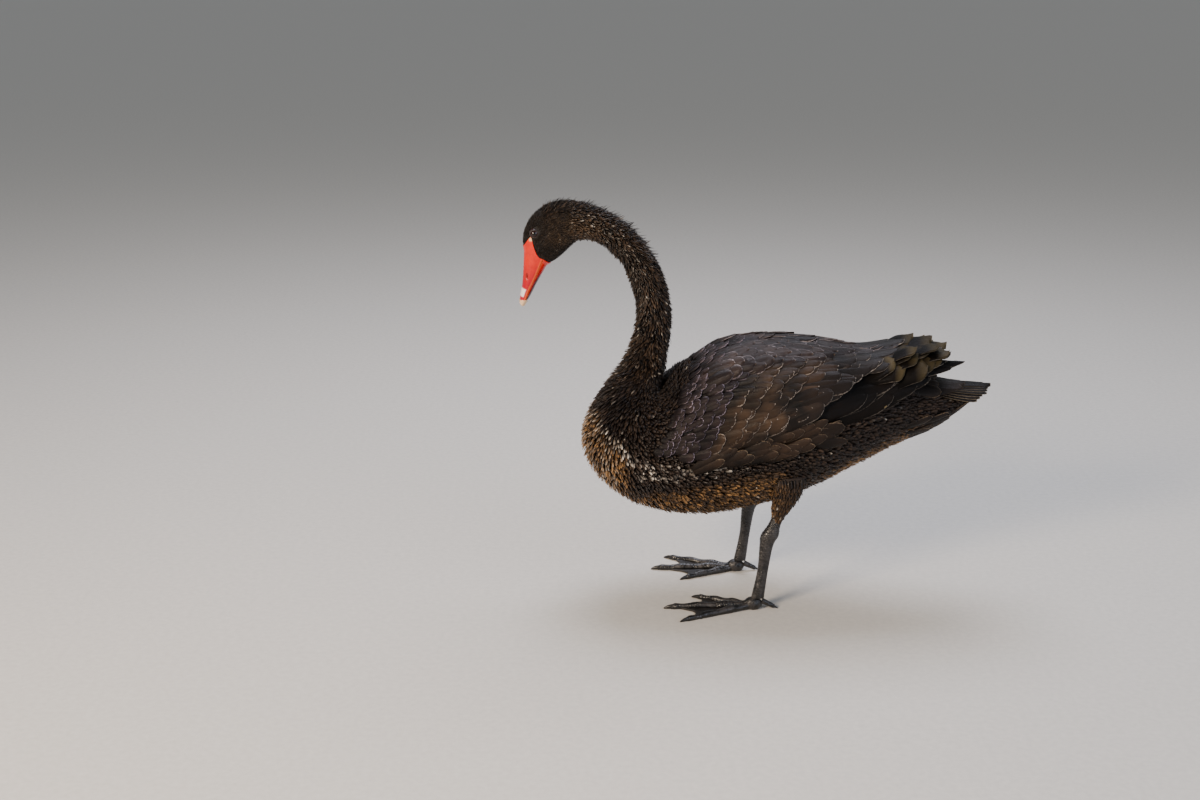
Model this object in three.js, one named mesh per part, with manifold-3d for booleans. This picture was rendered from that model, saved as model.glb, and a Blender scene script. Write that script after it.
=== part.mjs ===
// A life-size black swan standing with its neck arched forward and its bill pointing down.
// Millimetres, +Z up. The bird faces -X, its left side is towards -Y, and the floor is z = 0.
import * as THREE from "three";
import { mergeVertices } from "three/addons/utils/BufferGeometryUtils.js";
import Module from "manifold-3d";

const wasm = await Module();
wasm.setup();
const DEGREE = Math.PI / 180;

// Gap that neighbouring pieces keep where they meet
const SEAM = 0.3;

// Body, neck and head: where the back line and the front or belly line pass in the middle plane [x, z],
// the half width there, and how far the widest place sits towards the belly
const BODY = [
  { part: "undertail", back: [510, 291], belly: [507, 284], half: 14, egg: 0 },
  { part: "tail coverts", back: [466, 299], belly: [460, 245], half: 38, egg: 0 },
  { part: "tail root", back: [402, 318], belly: [397, 212], half: 60, egg: 0 },
  { part: "rump", back: [348, 334], belly: [340, 183], half: 82, egg: 0 },
  { part: "hip", back: [288, 345], belly: [282, 153], half: 96, egg: 0 },
  { part: "belly", back: [224, 350], belly: [220, 131], half: 103, egg: 0.03 },
  { part: "middle", back: [158, 343], belly: [150, 117], half: 105, egg: 0.05 },
  { part: "chest", back: [112, 322], belly: [85, 120], half: 103, egg: 0.05 },
  { part: "breast", back: [98, 310], belly: [32, 138], half: 97, egg: 0.04 },
  { part: "breast", back: [90, 304], belly: [-8, 172], half: 88, egg: 0.02 },
  { part: "breast front", back: [86, 303], belly: [-25, 212], half: 77, egg: 0 },
  { part: "neck base", back: [86, 309], belly: [-18, 250], half: 63, egg: 0 },
  { part: "neck base", back: [88, 321], belly: [4, 288], half: 47, egg: 0 },
  { part: "neck", back: [91, 339], belly: [27, 322], half: 35, egg: 0 },
  { part: "neck", back: [95, 366], belly: [43, 362], half: 28, egg: 0 },
  { part: "neck", back: [95, 398], belly: [47, 400], half: 25, egg: 0 },
  { part: "neck", back: [88, 433], belly: [40, 429], half: 24, egg: 0 },
  { part: "neck", back: [72, 467], belly: [28, 458], half: 23.5, egg: 0 },
  { part: "neck", back: [44, 504], belly: [6, 480], half: 23, egg: 0 },
  { part: "neck", back: [9, 529], belly: [-14, 489], half: 22.5, egg: 0 },
  { part: "nape", back: [-24, 540], belly: [-31, 488], half: 23, egg: 0 },
  { part: "nape", back: [-50, 543], belly: [-39, 481], half: 24.5, egg: 0.02 },
  { part: "crown", back: [-73, 536], belly: [-46, 474], half: 25.5, egg: 0.08 },
  { part: "crown", back: [-90, 522], belly: [-53, 468], half: 25, egg: 0.12 },
  { part: "brow", back: [-99, 505], belly: [-60, 463], half: 23, egg: 0.14 },
  { part: "forehead", back: [-101.5, 490], belly: [-66, 459], half: 19.5, egg: 0.1 },
  { part: "bill base", back: [-100, 475], belly: [-71, 455], half: 16.5, egg: 0 },
  { part: "bill", back: [-100.5, 461], belly: [-76, 446], half: 15.2, egg: -0.03 },
  { part: "bill", back: [-101.5, 445], belly: [-82.5, 434.5], half: 14, egg: -0.05 },
  { part: "bill", back: [-103, 429], belly: [-88.5, 422.5], half: 13.4, egg: -0.05 },
  { part: "bill", back: [-106, 414.5], belly: [-94.5, 411.5], half: 12.8, egg: 0 },
  { part: "nail", back: [-106, 406], belly: [-98.5, 405], half: 10, egg: 0 },
  { part: "nail", back: [-103, 400.5], belly: [-100, 401], half: 4.5, egg: 0 },
];
const TAIL_CUT = 2;
const NECK_CUTS = [12.4, 15, 17.5, 20];
const BILL_TIP = BODY.length - 1;
const BODY_ROUNDNESS = 2.15;
const BODY_SIDES = 30;
const NECK_SIDES = 20;
const HEAD_SIDES = 24;

// The wings lie on a rounder guide than the tail does: behind the rump it stays high
const WING_REAR = [
  { back: [535, 333], belly: [508, 270], half: 34, egg: 0 },
  { back: [476, 338], belly: [455, 248], half: 54, egg: 0 },
  { back: [408, 340], belly: [396, 214], half: 71, egg: 0 },
];

// Eyes: the middle of the eye in the side view, the ball, and the ring of the lids
const EYE = [-85.7, 501];
const EYE_BALL = 7;
const EYE_STANDS_OUT = 1.7;
const LID_RING = 5.3;
const LID_THICKNESS = 1.25;

// Bill: the edge of the feathers from culmen to chin, and the line of the mouth, in the side view
const FEATHER_EDGE = [
  [-125, 479], [-100.2, 481], [-94.5, 490.5], [-90.5, 495], [-88.3, 488], [-85.8, 479], [-82.5, 471.7],
  [-79, 467.3], [-75, 466], [-70.6, 463], [-50, 447],
];
const MOUTH = [[-74, 470], [-77, 462.5], [-84, 445], [-89, 434.5], [-95, 422.5], [-98.5, 412], [-94, 400]];
const NOSTRIL = [-96, 444];
const NOSTRIL_HALVES = [1.9, 4.6, 3.2];
const NOSTRIL_SETS_IN = 1.2;

// Wing: the muscle and bone that the feathers grow from
const WING_FRONT = 88;
const WING_END = 428;
const WING_TOP_ANGLE = [38, 3];
const WING_LOW_ANGLE = [80, 90, 78];
const WING_CORE_DEPTH = [6, 8, 5];
const WING_CORE_SINK = 4;
const VANE_THICKNESS = 0.9;
const VANE_STEPS = [0, 0.5, 0.86, 1];
const VANE_WIDTHS = [0.7, 1, 0.8, 0.3];

// Rows of wing feathers, the lowest first. Each row runs from its first root to its last, as [x, degrees
// round the body]. Aim is the degrees that a feather turns down from the body's length. Lift is its height
// over the skin at the root and at the tip, and the row's last feather has the share of it that edge says
const WING_ROWS = [
  {
    name: "primaries", count: 3, from: [346, 46], to: [334, 62],
    length: [116, 106], width: 25, aim: [-4, -15], lift: [2, 4], tilt: 1.2, curl: 0, edge: 0.8
  },
  {
    name: "secondaries", count: 4, from: [304, 39], to: [248, 80],
    length: [124, 106], width: 40, aim: [2, -13], lift: [4, 8], tilt: 1.6, curl: 0, edge: 0.6
  },
  {
    name: "tertials", count: 5, from: [340, 12], to: [322, 46],
    length: [98, 90], width: 34, aim: [-3, -12], lift: [6, 12], tilt: 2, curl: 14, edge: 0.9
  },
  {
    name: "greater coverts", count: 4, from: [260, 40], to: [206, 82],
    length: [86, 74], width: 42, aim: [0, -11], lift: [6, 13], tilt: 1.8, curl: 0, edge: 0.6
  },
  {
    name: "median coverts", count: 4, from: [196, 42], to: [162, 80],
    length: [66, 56], width: 38, aim: [2, -8], lift: [6, 15], tilt: 1.6, curl: 0, edge: 0.6
  },
  {
    name: "lesser coverts", count: 3, from: [146, 46], to: [126, 78],
    length: [50, 44], width: 42, aim: [4, -5], lift: [4, 14], tilt: 1.4, curl: 0, edge: 0.6
  },
  {
    name: "scapulars", count: 4, from: [156, 30], to: [292, 12],
    length: [78, 84], width: 34, aim: [-6, -3], lift: [6, 13], tilt: -1.8, curl: 0, edge: 1
  },
];

// Tail: broad feathers fanned from one root, each a step lower than the one before, and their coverts
const TAIL_VANES = 8;
const TAIL_ROOT = [410, 300];
const TAIL_SLOPE = -0.06;
const TAIL_LENGTHS = [112, 96];
const TAIL_SPREAD = 27;
const TAIL_WIDTH = 30;
const TAIL_STEP = 1.1;
const TAIL_COVERTS = [
  {
    name: "undertail coverts", count: 3, from: [424, 134], to: [424, 226],
    length: [70, 70], width: 42, aim: [0, 0], lift: [-2, 6], tilt: 1.2, curl: 0, edge: 1
  },
  {
    name: "uppertail coverts", count: 3, from: [414, -30], to: [414, 30],
    length: [62, 62], width: 30, aim: [0, 0], lift: [-2, 5], tilt: 1.2, curl: 0, edge: 1
  },
];

// Legs: where each leg stands, its middle line from the side, and its half sizes along and across the bird
const LEG_PLACES = { left: { shift: -4, y: -72 }, right: { shift: -17, y: 72 } };
const THIGH_LINE = [[250, 188], [246, 160], [237, 131]];
const THIGH_HALVES = [[28, 22], [20, 16], [9.5, 8.5]];
const SHANK_LINE = [[237, 131], [231, 117], [226, 104], [222, 90], [218, 55], [212, 16]];
const SHANK_HALVES = [[7.6, 6.6], [8.8, 7], [12, 8.6], [9.2, 6.8], [7.2, 5.2], [8.6, 6.4]];
const LEG_SIDES = 12;

// Feet: the middle of the foot, and each toe's turn outwards, its length and its half height at the root
const FOOT_MIDDLE = [203, 5.6];
const TOES = [
  { name: "inner", turn: -27, length: 78, half: 5 },
  { name: "middle", turn: 1, length: 108, half: 5.6 },
  { name: "outer", turn: 27, length: 100, half: 5 },
];
const HIND_TOE = { root: [218, 11], tip: [236, 3.4], half: 3.4 };
const TOE_JOINTS = 3;
const CLAW_LENGTH = 11;
const WEB_LEVELS = [0.8, 3];
const WEB_REACH = 0.84;
const WEB_HOLLOW = 0.84;

const MATERIALS = {
  torso: { color: "#2b2320", roughness: 0.8 },
  neck: { color: "#1f1a1a", roughness: 0.75 },
  tail: { color: "#1a1718", roughness: 0.6 },
  wing: { color: "#231f20", roughness: 0.65 },
  head: { color: "#1c1718", roughness: 0.75 },
  bill: { color: "#b8301f", roughness: 0.4 },
  eye: { color: "#0d0909", roughness: 0.1 },
  thigh: { color: "#3a2a1f", roughness: 0.85 },
  shank: { color: "#232225", roughness: 0.45 },
  foot: { color: "#232225", roughness: 0.5 },
};

// Shapes from points

function solidOf(points, triangles) {
  return solidOfGeometry(new THREE.BufferGeometry().setFromPoints(points).setIndex(triangles));
}

// The closed solid of a geometry, turned inside out if its faces point inwards
function solidOfGeometry(geometry) {
  geometry.deleteAttribute("normal").deleteAttribute("uv");
  const merged = mergeVertices(geometry, 1e-4);
  const vertProperties = merged.getAttribute("position").array;
  const triVerts = new Uint32Array(merged.getIndex().array);
  const made = new wasm.Manifold(new wasm.Mesh({ numProp: 3, vertProperties, triVerts }));
  if (made.volume() > 0) return made;
  for (let i = 0; i < triVerts.length; i += 3) {
    [triVerts[i + 1], triVerts[i + 2]] = [triVerts[i + 2], triVerts[i + 1]];
  }
  return new wasm.Manifold(new wasm.Mesh({ numProp: 3, vertProperties, triVerts }));
}

function geometryOf(solid) {
  const mesh = solid.getMesh();
  const points = new THREE.BufferAttribute(mesh.vertProperties, 3);
  return new THREE.BufferGeometry().setAttribute("position", points)
    .setIndex(new THREE.BufferAttribute(mesh.triVerts, 1));
}

function joined(solids) {
  return solids.reduce((sum, one) => sum.add(one));
}

// The largest closed surface of a solid, without scraps and sealed hollows
function mainBodyOf(solid) {
  return solid.decompose().reduce((best, one) => (one.volume() > best.volume() ? one : best));
}

// A closed tube of rings with the same number of points each, shut by a flat fan at each end
function tubeOf(rings) {
  const sides = rings[0].length;
  const points = rings.flat();
  const triangles = [];
  for (let i = 0; i + 1 < rings.length; i++) {
    for (let j = 0; j < sides; j++) {
      const a = i * sides + j;
      const b = i * sides + ((j + 1) % sides);
      triangles.push(a, b, b + sides, a, b + sides, a + sides);
    }
  }
  for (const start of [0, (rings.length - 1) * sides]) {
    const middle = points.length;
    points.push(centreOf(points.slice(start, start + sides)));
    for (let j = 0; j < sides; j++) {
      const a = start + j;
      const b = start + ((j + 1) % sides);
      triangles.push(...(start ? [middle, a, b] : [middle, b, a]));
    }
  }
  return solidOf(points, triangles);
}

// A closed plate between an outer and an inner grid of points, with the same diagonals on both faces
function plateOf(outer, inner) {
  const rows = outer.length;
  const columns = outer[0].length;
  const far = rows * columns;
  const triangles = [];
  const quad = (a, b, c, d) => triangles.push(a, b, c, a, c, d);
  for (let i = 0; i + 1 < rows; i++) {
    for (let j = 0; j + 1 < columns; j++) {
      const a = i * columns + j;
      triangles.push(a, a + 1, a + columns + 1, a, a + columns + 1, a + columns);
      const b = a + far;
      triangles.push(b, b + columns + 1, b + 1, b, b + columns, b + columns + 1);
    }
    const left = i * columns;
    const right = left + columns - 1;
    quad(left, left + columns, left + columns + far, left + far);
    quad(right, right + far, right + columns + far, right + columns);
  }
  for (let j = 0; j + 1 < columns; j++) {
    const end = (rows - 1) * columns + j;
    quad(j, j + far, j + 1 + far, j + 1);
    quad(end, end + 1, end + 1 + far, end + far);
  }
  return solidOf([...outer.flat(), ...inner.flat()], triangles);
}

// A block with the outline given in the side view, running through the bird from side to side
function sideBlock(outline, halfDepth = 60) {
  const shape = new THREE.Shape(outline.map(([x, z]) => new THREE.Vector2(x, z)));
  const block = new THREE.ExtrudeGeometry(shape, { depth: 2 * halfDepth, bevelEnabled: false });
  return solidOfGeometry(block.translate(0, 0, -halfDepth).rotateX(Math.PI / 2));
}

// A line of the side view moved sideways, to its right for a positive distance
function movedLine(line, distance) {
  const right = (a, b) => {
    const length = Math.hypot(b[0] - a[0], b[1] - a[1]);
    return [(b[1] - a[1]) / length, (a[0] - b[0]) / length];
  };
  return line.map((point, i) => {
    const before = right(line[Math.max(i - 1, 0)], line[Math.max(i, 1)]);
    const last = line.length - 1;
    const after = right(line[Math.min(i, last - 1)], line[Math.min(i + 1, last)]);
    const reach = distance / (1 + before[0] * after[0] + before[1] * after[1]);
    return [point[0] + (before[0] + after[0]) * reach, point[1] + (before[1] + after[1]) * reach];
  });
}

function centreOf(points) {
  return points.reduce((sum, p) => sum.add(p), new THREE.Vector3()).divideScalar(points.length);
}

function between([first, last], share) {
  return first + (last - first) * share;
}

// A value along a list of three or more, taken at a share of its length
function along(list, share) {
  const place = THREE.MathUtils.clamp(share, 0, 1) * (list.length - 1);
  const i = Math.min(Math.floor(place), list.length - 2);
  return between([list[i], list[i + 1]], place - i);
}

function smooth(value) {
  const t = THREE.MathUtils.clamp(value, 0, 1);
  return t * t * (3 - 2 * t);
}

// A repeatable source of numbers from -1 to 1
function seeded(seed) {
  let state = seed;
  return () => {
    state = (state * 16807) % 2147483647;
    return (2 * state) / 2147483647 - 1;
  };
}

// The skin's shape: a section is a rounded ring across the line from back to belly

function curvesOf(sections) {
  const line = (point) => new THREE.CatmullRomCurve3(sections.map(point), false, "catmullrom", 0.5);
  return {
    last: sections.length - 1,
    back: line((s) => new THREE.Vector3(s.back[0], 0, s.back[1])),
    belly: line((s) => new THREE.Vector3(s.belly[0], 0, s.belly[1])),
    size: line((s) => new THREE.Vector3(s.half, s.egg, 0)),
  };
}

const BODY_CURVES = curvesOf(BODY);
const WING_CURVES = curvesOf([...WING_REAR, ...BODY.slice(WING_REAR.length)]);

function rounded(value) {
  return Math.sign(value) * Math.abs(value) ** (2 / BODY_ROUNDNESS);
}

// A point of the surface at a place along the sections, an angle from the back, and a height over the skin
function surfacePoint(curves, place, angle, height, side = 1) {
  const share = THREE.MathUtils.clamp(place / curves.last, 0, 1);
  const back = curves.back.getPoint(share);
  const belly = curves.belly.getPoint(share);
  const size = curves.size.getPoint(share);
  const up = back.clone().sub(belly);
  const halfHeight = up.length() / 2;
  const across = rounded(Math.sin(angle)) * (size.x + height) * (1 - size.y * Math.cos(angle));
  return back.add(belly).divideScalar(2)
    .addScaledVector(up.normalize(), rounded(Math.cos(angle)) * (halfHeight + height))
    .add(new THREE.Vector3(0, side * across, 0));
}

// A length of the body between two places, its first face set back by the seam
function bodyLength(from, to, steps, sides, height = 0, seam = SEAM) {
  const rings = Array.from({ length: steps + 1 }, (_, i) => {
    const place = between([from, to], i / steps);
    return Array.from({ length: sides }, (_, j) =>
      surfacePoint(BODY_CURVES, place, (j / sides) * 2 * Math.PI, height));
  });
  const forward = centreOf(rings[1]).sub(centreOf(rings[0]));
  const up = rings[0][0].clone().sub(rings[0][Math.floor(sides / 2)]);
  const normal = new THREE.Vector3(0, 1, 0).cross(up).normalize();
  const step = Math.sign(normal.dot(forward)) * seam;
  rings[0].forEach((point) => point.addScaledVector(normal, step));
  return tubeOf(rings);
}

// Feathers

// The place along the sections where their middle passes x, behind the breast
function placeAtX(curves, x) {
  let [low, high] = [0, 10];
  for (let i = 0; i < 24; i++) {
    const middle = (low + high) / 2;
    const share = middle / curves.last;
    const here = (curves.back.getPoint(share).x + curves.belly.getPoint(share).x) / 2;
    if (here > x) low = middle;
    else high = middle;
  }
  return (low + high) / 2;
}

function radiusAt(curves, place) {
  const share = place / curves.last;
  const height = curves.back.getPoint(share).distanceTo(curves.belly.getPoint(share));
  return height / 4 + curves.size.getPoint(share).x / 2;
}

// One feather of a row: it follows the sections at a height that changes from root to tip
function vaneOf(curves, row, share, side, chance) {
  const [x0, degrees0] = [0, 1].map((k) => between([row.from[k], row.to[k]], share));
  const length = between(row.length, share) * (1 + 0.04 * chance());
  const aim = (between(row.aim, share) + 1.5 * chance()) * DEGREE;
  const corner = (t, width, c, thickness) => {
    const forward = length * t;
    const sideways = (c * width * row.width) / 2;
    const x = x0 + forward * Math.cos(aim) - sideways * Math.sin(aim);
    const place = placeAtX(curves, x);
    const arc = forward * Math.sin(aim) + sideways * Math.cos(aim);
    const angle = degrees0 * DEGREE + arc / radiusAt(curves, place);
    const curl = row.curl * smooth((t - 0.45) / 0.55) * (1 - 0.3 * c);
    const lift = between(row.lift, t) * between([1, row.edge], share ** 2);
    const height = lift + row.tilt * c + curl + thickness;
    return surfacePoint(curves, place, angle, height, side);
  };
  const face = (thickness) => VANE_STEPS.map((t, i) =>
    [-1, 1].map((c) => corner(t, VANE_WIDTHS[i], c, thickness * (1 - 0.4 * t))));
  return plateOf(face(VANE_THICKNESS), face(0));
}

function rowOf(curves, row, side, chance) {
  return Array.from({ length: row.count }, (_, i) =>
    vaneOf(curves, row, i / (row.count - 1), side, chance));
}

// The wing's core: a flattened body over the flank, thickest at the middle and thin at its edges
function wingCore(side) {
  const [lengthSteps, roundSteps] = [12, 10];
  const layer = (depthAt) => Array.from({ length: lengthSteps + 1 }, (_, i) => {
    const t = i / lengthSteps;
    const place = placeAtX(WING_CURVES, between([WING_FRONT, WING_END], t));
    const narrowing = Math.sqrt(Math.min(1, 0.12 + t / 0.22, 0.1 + (1 - t) / 0.3));
    const top = between(WING_TOP_ANGLE, smooth(t / 0.3));
    const low = along(WING_LOW_ANGLE, t);
    return Array.from({ length: roundSteps + 1 }, (_, j) => {
      const c = (2 * j) / roundSteps - 1;
      const angle = ((top + low) / 2 + (c * narrowing * (low - top)) / 2) * DEGREE;
      return surfacePoint(WING_CURVES, place, angle, depthAt(t, c, narrowing), side);
    });
  });
  const outer = (t, c, narrowing) => along(WING_CORE_DEPTH, t) * Math.sqrt(1 - 0.8 * c ** 4) * narrowing;
  return plateOf(layer(outer), layer(() => -WING_CORE_SINK));
}

function wingSolid(side, seed, neighbours) {
  const chance = seeded(seed);
  const vanes = WING_ROWS.flatMap((row) => rowOf(WING_CURVES, row, side, chance));
  const halfSpace = sideHalf(side);
  return mainBodyOf(joined([wingCore(side), ...vanes]).intersect(halfSpace).subtract(neighbours));
}

// A large block on one side of the middle plane, half a seam away from it
function sideHalf(side) {
  const reach = 1200;
  const block = new THREE.BoxGeometry(reach, reach, reach);
  return solidOfGeometry(block.translate(0, (side * (reach + SEAM)) / 2, 0));
}

// The tail: its coverts are one solid with two fans of vanes, the middle pair on top
function tailSolid() {
  const chance = seeded(31);
  const fan = Array.from({ length: TAIL_VANES }, (_, i) => {
    const side = i % 2 ? 1 : -1;
    const turn = (Math.floor(i / 2) + 0.5) / (TAIL_VANES / 2);
    return tailVane(side * turn * TAIL_SPREAD * DEGREE, between(TAIL_LENGTHS, turn), -i * TAIL_STEP);
  });
  const coverts = TAIL_COVERTS.flatMap((row) => rowOf(BODY_CURVES, row, 1, chance));
  return mainBodyOf(joined([bodyLength(TAIL_CUT, 0, 5, BODY_SIDES), ...fan, ...coverts]));
}

function tailVane(turn, length, drop) {
  const face = (thickness) => VANE_STEPS.map((t, i) => [-1, 1].map((c) => {
    const [forward, sideways] = [length * t, (c * VANE_WIDTHS[i] * TAIL_WIDTH) / 2];
    const z = TAIL_ROOT[1] + forward * TAIL_SLOPE + drop + thickness * (1 - 0.4 * t);
    return new THREE.Vector3(TAIL_ROOT[0] + forward * Math.cos(turn) - sideways * Math.sin(turn),
      forward * Math.sin(turn) + sideways * Math.cos(turn), z);
  }));
  return plateOf(face(VANE_THICKNESS), face(0));
}

// The head with its bill is one length of the body, parted along the feather edge and the mouth

// How far the head's side stands from the middle plane at a point of the side view
function sideReach([x, z]) {
  let best = { miss: Infinity, reach: 0 };
  for (let place = 21; place < 31; place += 0.05) {
    for (let angle = 0.2; angle < 3; angle += 0.03) {
      const point = surfacePoint(BODY_CURVES, place, angle, 0);
      const miss = Math.hypot(point.x - x, point.z - z);
      if (miss < best.miss) best = { miss, reach: point.y };
    }
  }
  return best.reach;
}

function ballAt([x, z], y, halves, segments) {
  const ball = new THREE.SphereGeometry(1, segments, segments / 2 + 2);
  return ball.scale(...halves).translate(x, y, z);
}

function headPieces() {
  const whole = bodyLength(NECK_CUTS.at(-1), BODY.length - 1, 27, HEAD_SIDES);
  const [left, right, low, high] = [-125, 60, 380, 600];
  const headSide = [...movedLine(FEATHER_EDGE, -SEAM / 2), [right, low + 64], [right, high], [left, high]];
  const billSide = [...movedLine(FEATHER_EDGE, SEAM / 2), [-50, low], [left, low]];
  const lowerSide = [...movedLine(MOUTH, -SEAM / 2), [-40, low + 20], [-40, 470]];
  const upperSide = [...movedLine(MOUTH, SEAM / 2), [-94, low], [left, low], [left, 500], [-74, 500]];

  const eyeY = sideReach(EYE) + EYE_STANDS_OUT - EYE_BALL;
  const ringY = eyeY + Math.sqrt(EYE_BALL ** 2 - LID_RING ** 2);
  const sockets = [-1, 1].map((side) => {
    const halves = Array(3).fill(EYE_BALL + SEAM);
    return solidOfGeometry(ballAt(EYE, side * eyeY, halves, 16));
  });
  const lids = [-1, 1].map((side) => {
    const ring = new THREE.TorusGeometry(LID_RING, LID_THICKNESS, 6, 16);
    return solidOfGeometry(ring.rotateX(Math.PI / 2).translate(EYE[0], side * ringY, EYE[1]));
  });
  const nostrils = [-1, 1].map((side) => {
    const tilt = Math.atan2(FEATHER_EDGE[1][0] - MOUTH[5][0], FEATHER_EDGE[1][1] - MOUTH[5][1]);
    const pit = ballAt([0, 0], 0, NOSTRIL_HALVES, 10).rotateY(tilt);
    const y = side * (sideReach(NOSTRIL) + NOSTRIL_SETS_IN);
    return solidOfGeometry(pit.translate(NOSTRIL[0], y, NOSTRIL[1]));
  });
  const feathered = joined([whole.intersect(sideBlock(headSide)), ...lids]);
  const bill = whole.intersect(sideBlock(billSide));
  return {
    head: mainBodyOf(feathered.subtract(joined(sockets))),
    bill_upper: mainBodyOf(bill.intersect(sideBlock(upperSide)).subtract(joined(nostrils))),
    bill_lower: mainBodyOf(bill.intersect(sideBlock(lowerSide))),
    eye_left: solidOfGeometry(ballAt(EYE, -eyeY, Array(3).fill(EYE_BALL), 14)),
    eye_right: solidOfGeometry(ballAt(EYE, eyeY, Array(3).fill(EYE_BALL), 14)),
  };
}

// Legs

// Rings round a line of the side view, each square to the line
function limbRings(line, halves, place, steps) {
  const points = line.map(([x, z]) => new THREE.Vector3(x + place.shift, place.y, z));
  const path = new THREE.CatmullRomCurve3(points);
  const sizes = new THREE.CatmullRomCurve3(halves.map(([a, b]) => new THREE.Vector3(a, b, 0)));
  return Array.from({ length: steps + 1 }, (_, i) => {
    const middle = path.getPoint(i / steps);
    const size = sizes.getPoint(i / steps);
    const across = new THREE.Vector3(0, 1, 0);
    const depth = across.clone().cross(path.getTangent(i / steps)).normalize();
    return Array.from({ length: LEG_SIDES }, (_, j) => {
      const angle = (j / LEG_SIDES) * 2 * Math.PI;
      return middle.clone().addScaledVector(depth, size.x * Math.cos(angle))
        .addScaledVector(across, size.y * Math.sin(angle));
    });
  });
}

function movedRing(ring, toward, distance) {
  const step = toward.clone().normalize().multiplyScalar(distance);
  return ring.map((point) => point.clone().add(step));
}

function legPieces(place, torsoGrown) {
  const thighRings = limbRings(THIGH_LINE, THIGH_HALVES, place, 5);
  const shankRings = limbRings(SHANK_LINE, SHANK_HALVES, place, 13);
  const down = centreOf(shankRings.at(-1)).sub(centreOf(shankRings.at(-2)));
  const knee = centreOf(thighRings.at(-2)).sub(centreOf(thighRings.at(-1)));
  thighRings[thighRings.length - 1] = movedRing(shankRings[0], knee, SEAM);
  return {
    thigh: mainBodyOf(tubeOf(thighRings).subtract(torsoGrown)),
    shank: tubeOf(shankRings),
    foot: footSolid(place, movedRing(shankRings.at(-1), down, SEAM)),
  };
}

// Toes lie on the floor: every point below it is brought up to it, which leaves a flat sole
function footSolid(place, topRing) {
  const outwards = Math.sign(place.y);
  const middle = new THREE.Vector3(FOOT_MIDDLE[0] + place.shift, place.y, FOOT_MIDDLE[1]);
  const onFloor = (point) => point.setZ(Math.max(point.z, 0));
  const boss = tubeOf([0, 0.5, 1, 2].map((level) => bossRing(topRing, middle, level)));
  const tips = [];
  const toes = TOES.map((toe) => {
    const turn = toe.turn * DEGREE;
    const way = new THREE.Vector3(-Math.cos(turn), outwards * Math.sin(turn), 0);
    tips.push(middle.clone().addScaledVector(way, toe.length));
    return toeSolid(middle, way, toe, onFloor);
  });
  return mainBodyOf(joined([boss, ...toes, webSolid(middle, tips), hindToe(place)]));
}

// A ring between the end of the shank, at level 0, the middle of the foot, at 1, and the floor, at 2
function bossRing(topRing, middle, level) {
  const centre = centreOf(topRing);
  return topRing.map((point) => {
    const spread = level > 1 ? 0.95 : 1 + 0.25 * level;
    const out = point.clone().sub(centre).multiplyScalar(spread);
    const moved = centre.clone().lerp(middle, Math.min(level, 1)).add(out);
    return level > 1 ? moved.setZ(0) : moved;
  });
}

function toeSolid(root, way, toe, onFloor) {
  const across = new THREE.Vector3(-way.y, way.x, 0);
  const steps = 8;
  const clawFrom = 1 - CLAW_LENGTH / toe.length;
  return tubeOf(Array.from({ length: steps + 1 }, (_, i) => {
    const t = i / steps;
    const knuckle = 0.5 * Math.cos(2 * Math.PI * TOE_JOINTS * t);
    const taper = t > clawFrom ? 0.55 * Math.sqrt(Math.max(0.02, (1 - t) / (1 - clawFrom))) : 1 - 0.42 * t;
    const half = toe.half * taper + (t > clawFrom ? 0 : knuckle);
    const middle = root.clone().addScaledVector(way, toe.length * t).setZ(Math.max(half * 0.86, 0.6));
    return Array.from({ length: 8 }, (_, j) => {
      const angle = ((j + 0.5) / 8) * 2 * Math.PI;
      return onFloor(middle.clone().addScaledVector(across, half * Math.sin(angle))
        .add(new THREE.Vector3(0, 0, half * Math.cos(angle))));
    });
  }));
}

// The web is a thin plate between the toes, hollowed between their tips
function webSolid(middle, tips) {
  const flat = (point) => new THREE.Vector2(point.x, point.y);
  const ends = tips.map((tip) => middle.clone().lerp(tip, WEB_REACH));
  const outline = new THREE.Shape().moveTo(middle.x + 3, middle.y).lineTo(ends[0].x, ends[0].y);
  for (let i = 1; i < ends.length; i++) {
    const bay = middle.clone().lerp(centreOf([ends[i - 1], ends[i]]), WEB_HOLLOW);
    outline.splineThru([flat(bay), flat(ends[i])]);
  }
  const web = new THREE.ExtrudeGeometry(outline, {
    depth: WEB_LEVELS[1] - WEB_LEVELS[0],
    bevelEnabled: false,
    curveSegments: 4,
  });
  return solidOfGeometry(web.translate(0, 0, WEB_LEVELS[0]));
}

function hindToe(place) {
  const line = [HIND_TOE.root, HIND_TOE.tip];
  const halves = [[HIND_TOE.half, HIND_TOE.half], [1, 1]];
  return tubeOf(limbRings(line, halves, place, 4));
}

// The bird

function wingsAndLegs(body) {
  const pieces = {};
  for (const [name, side] of [["left", -1], ["right", 1]]) {
    pieces[`wing_${name}`] = wingSolid(side, side + 12, body.room);
    const leg = legPieces(LEG_PLACES[name], body.torsoRoom.add(pieces[`wing_${name}`]));
    pieces[`thigh_${name}`] = leg.thigh;
    pieces[`shank_${name}`] = leg.shank;
    pieces[`foot_${name}`] = leg.foot;
  }
  return pieces;
}

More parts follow.
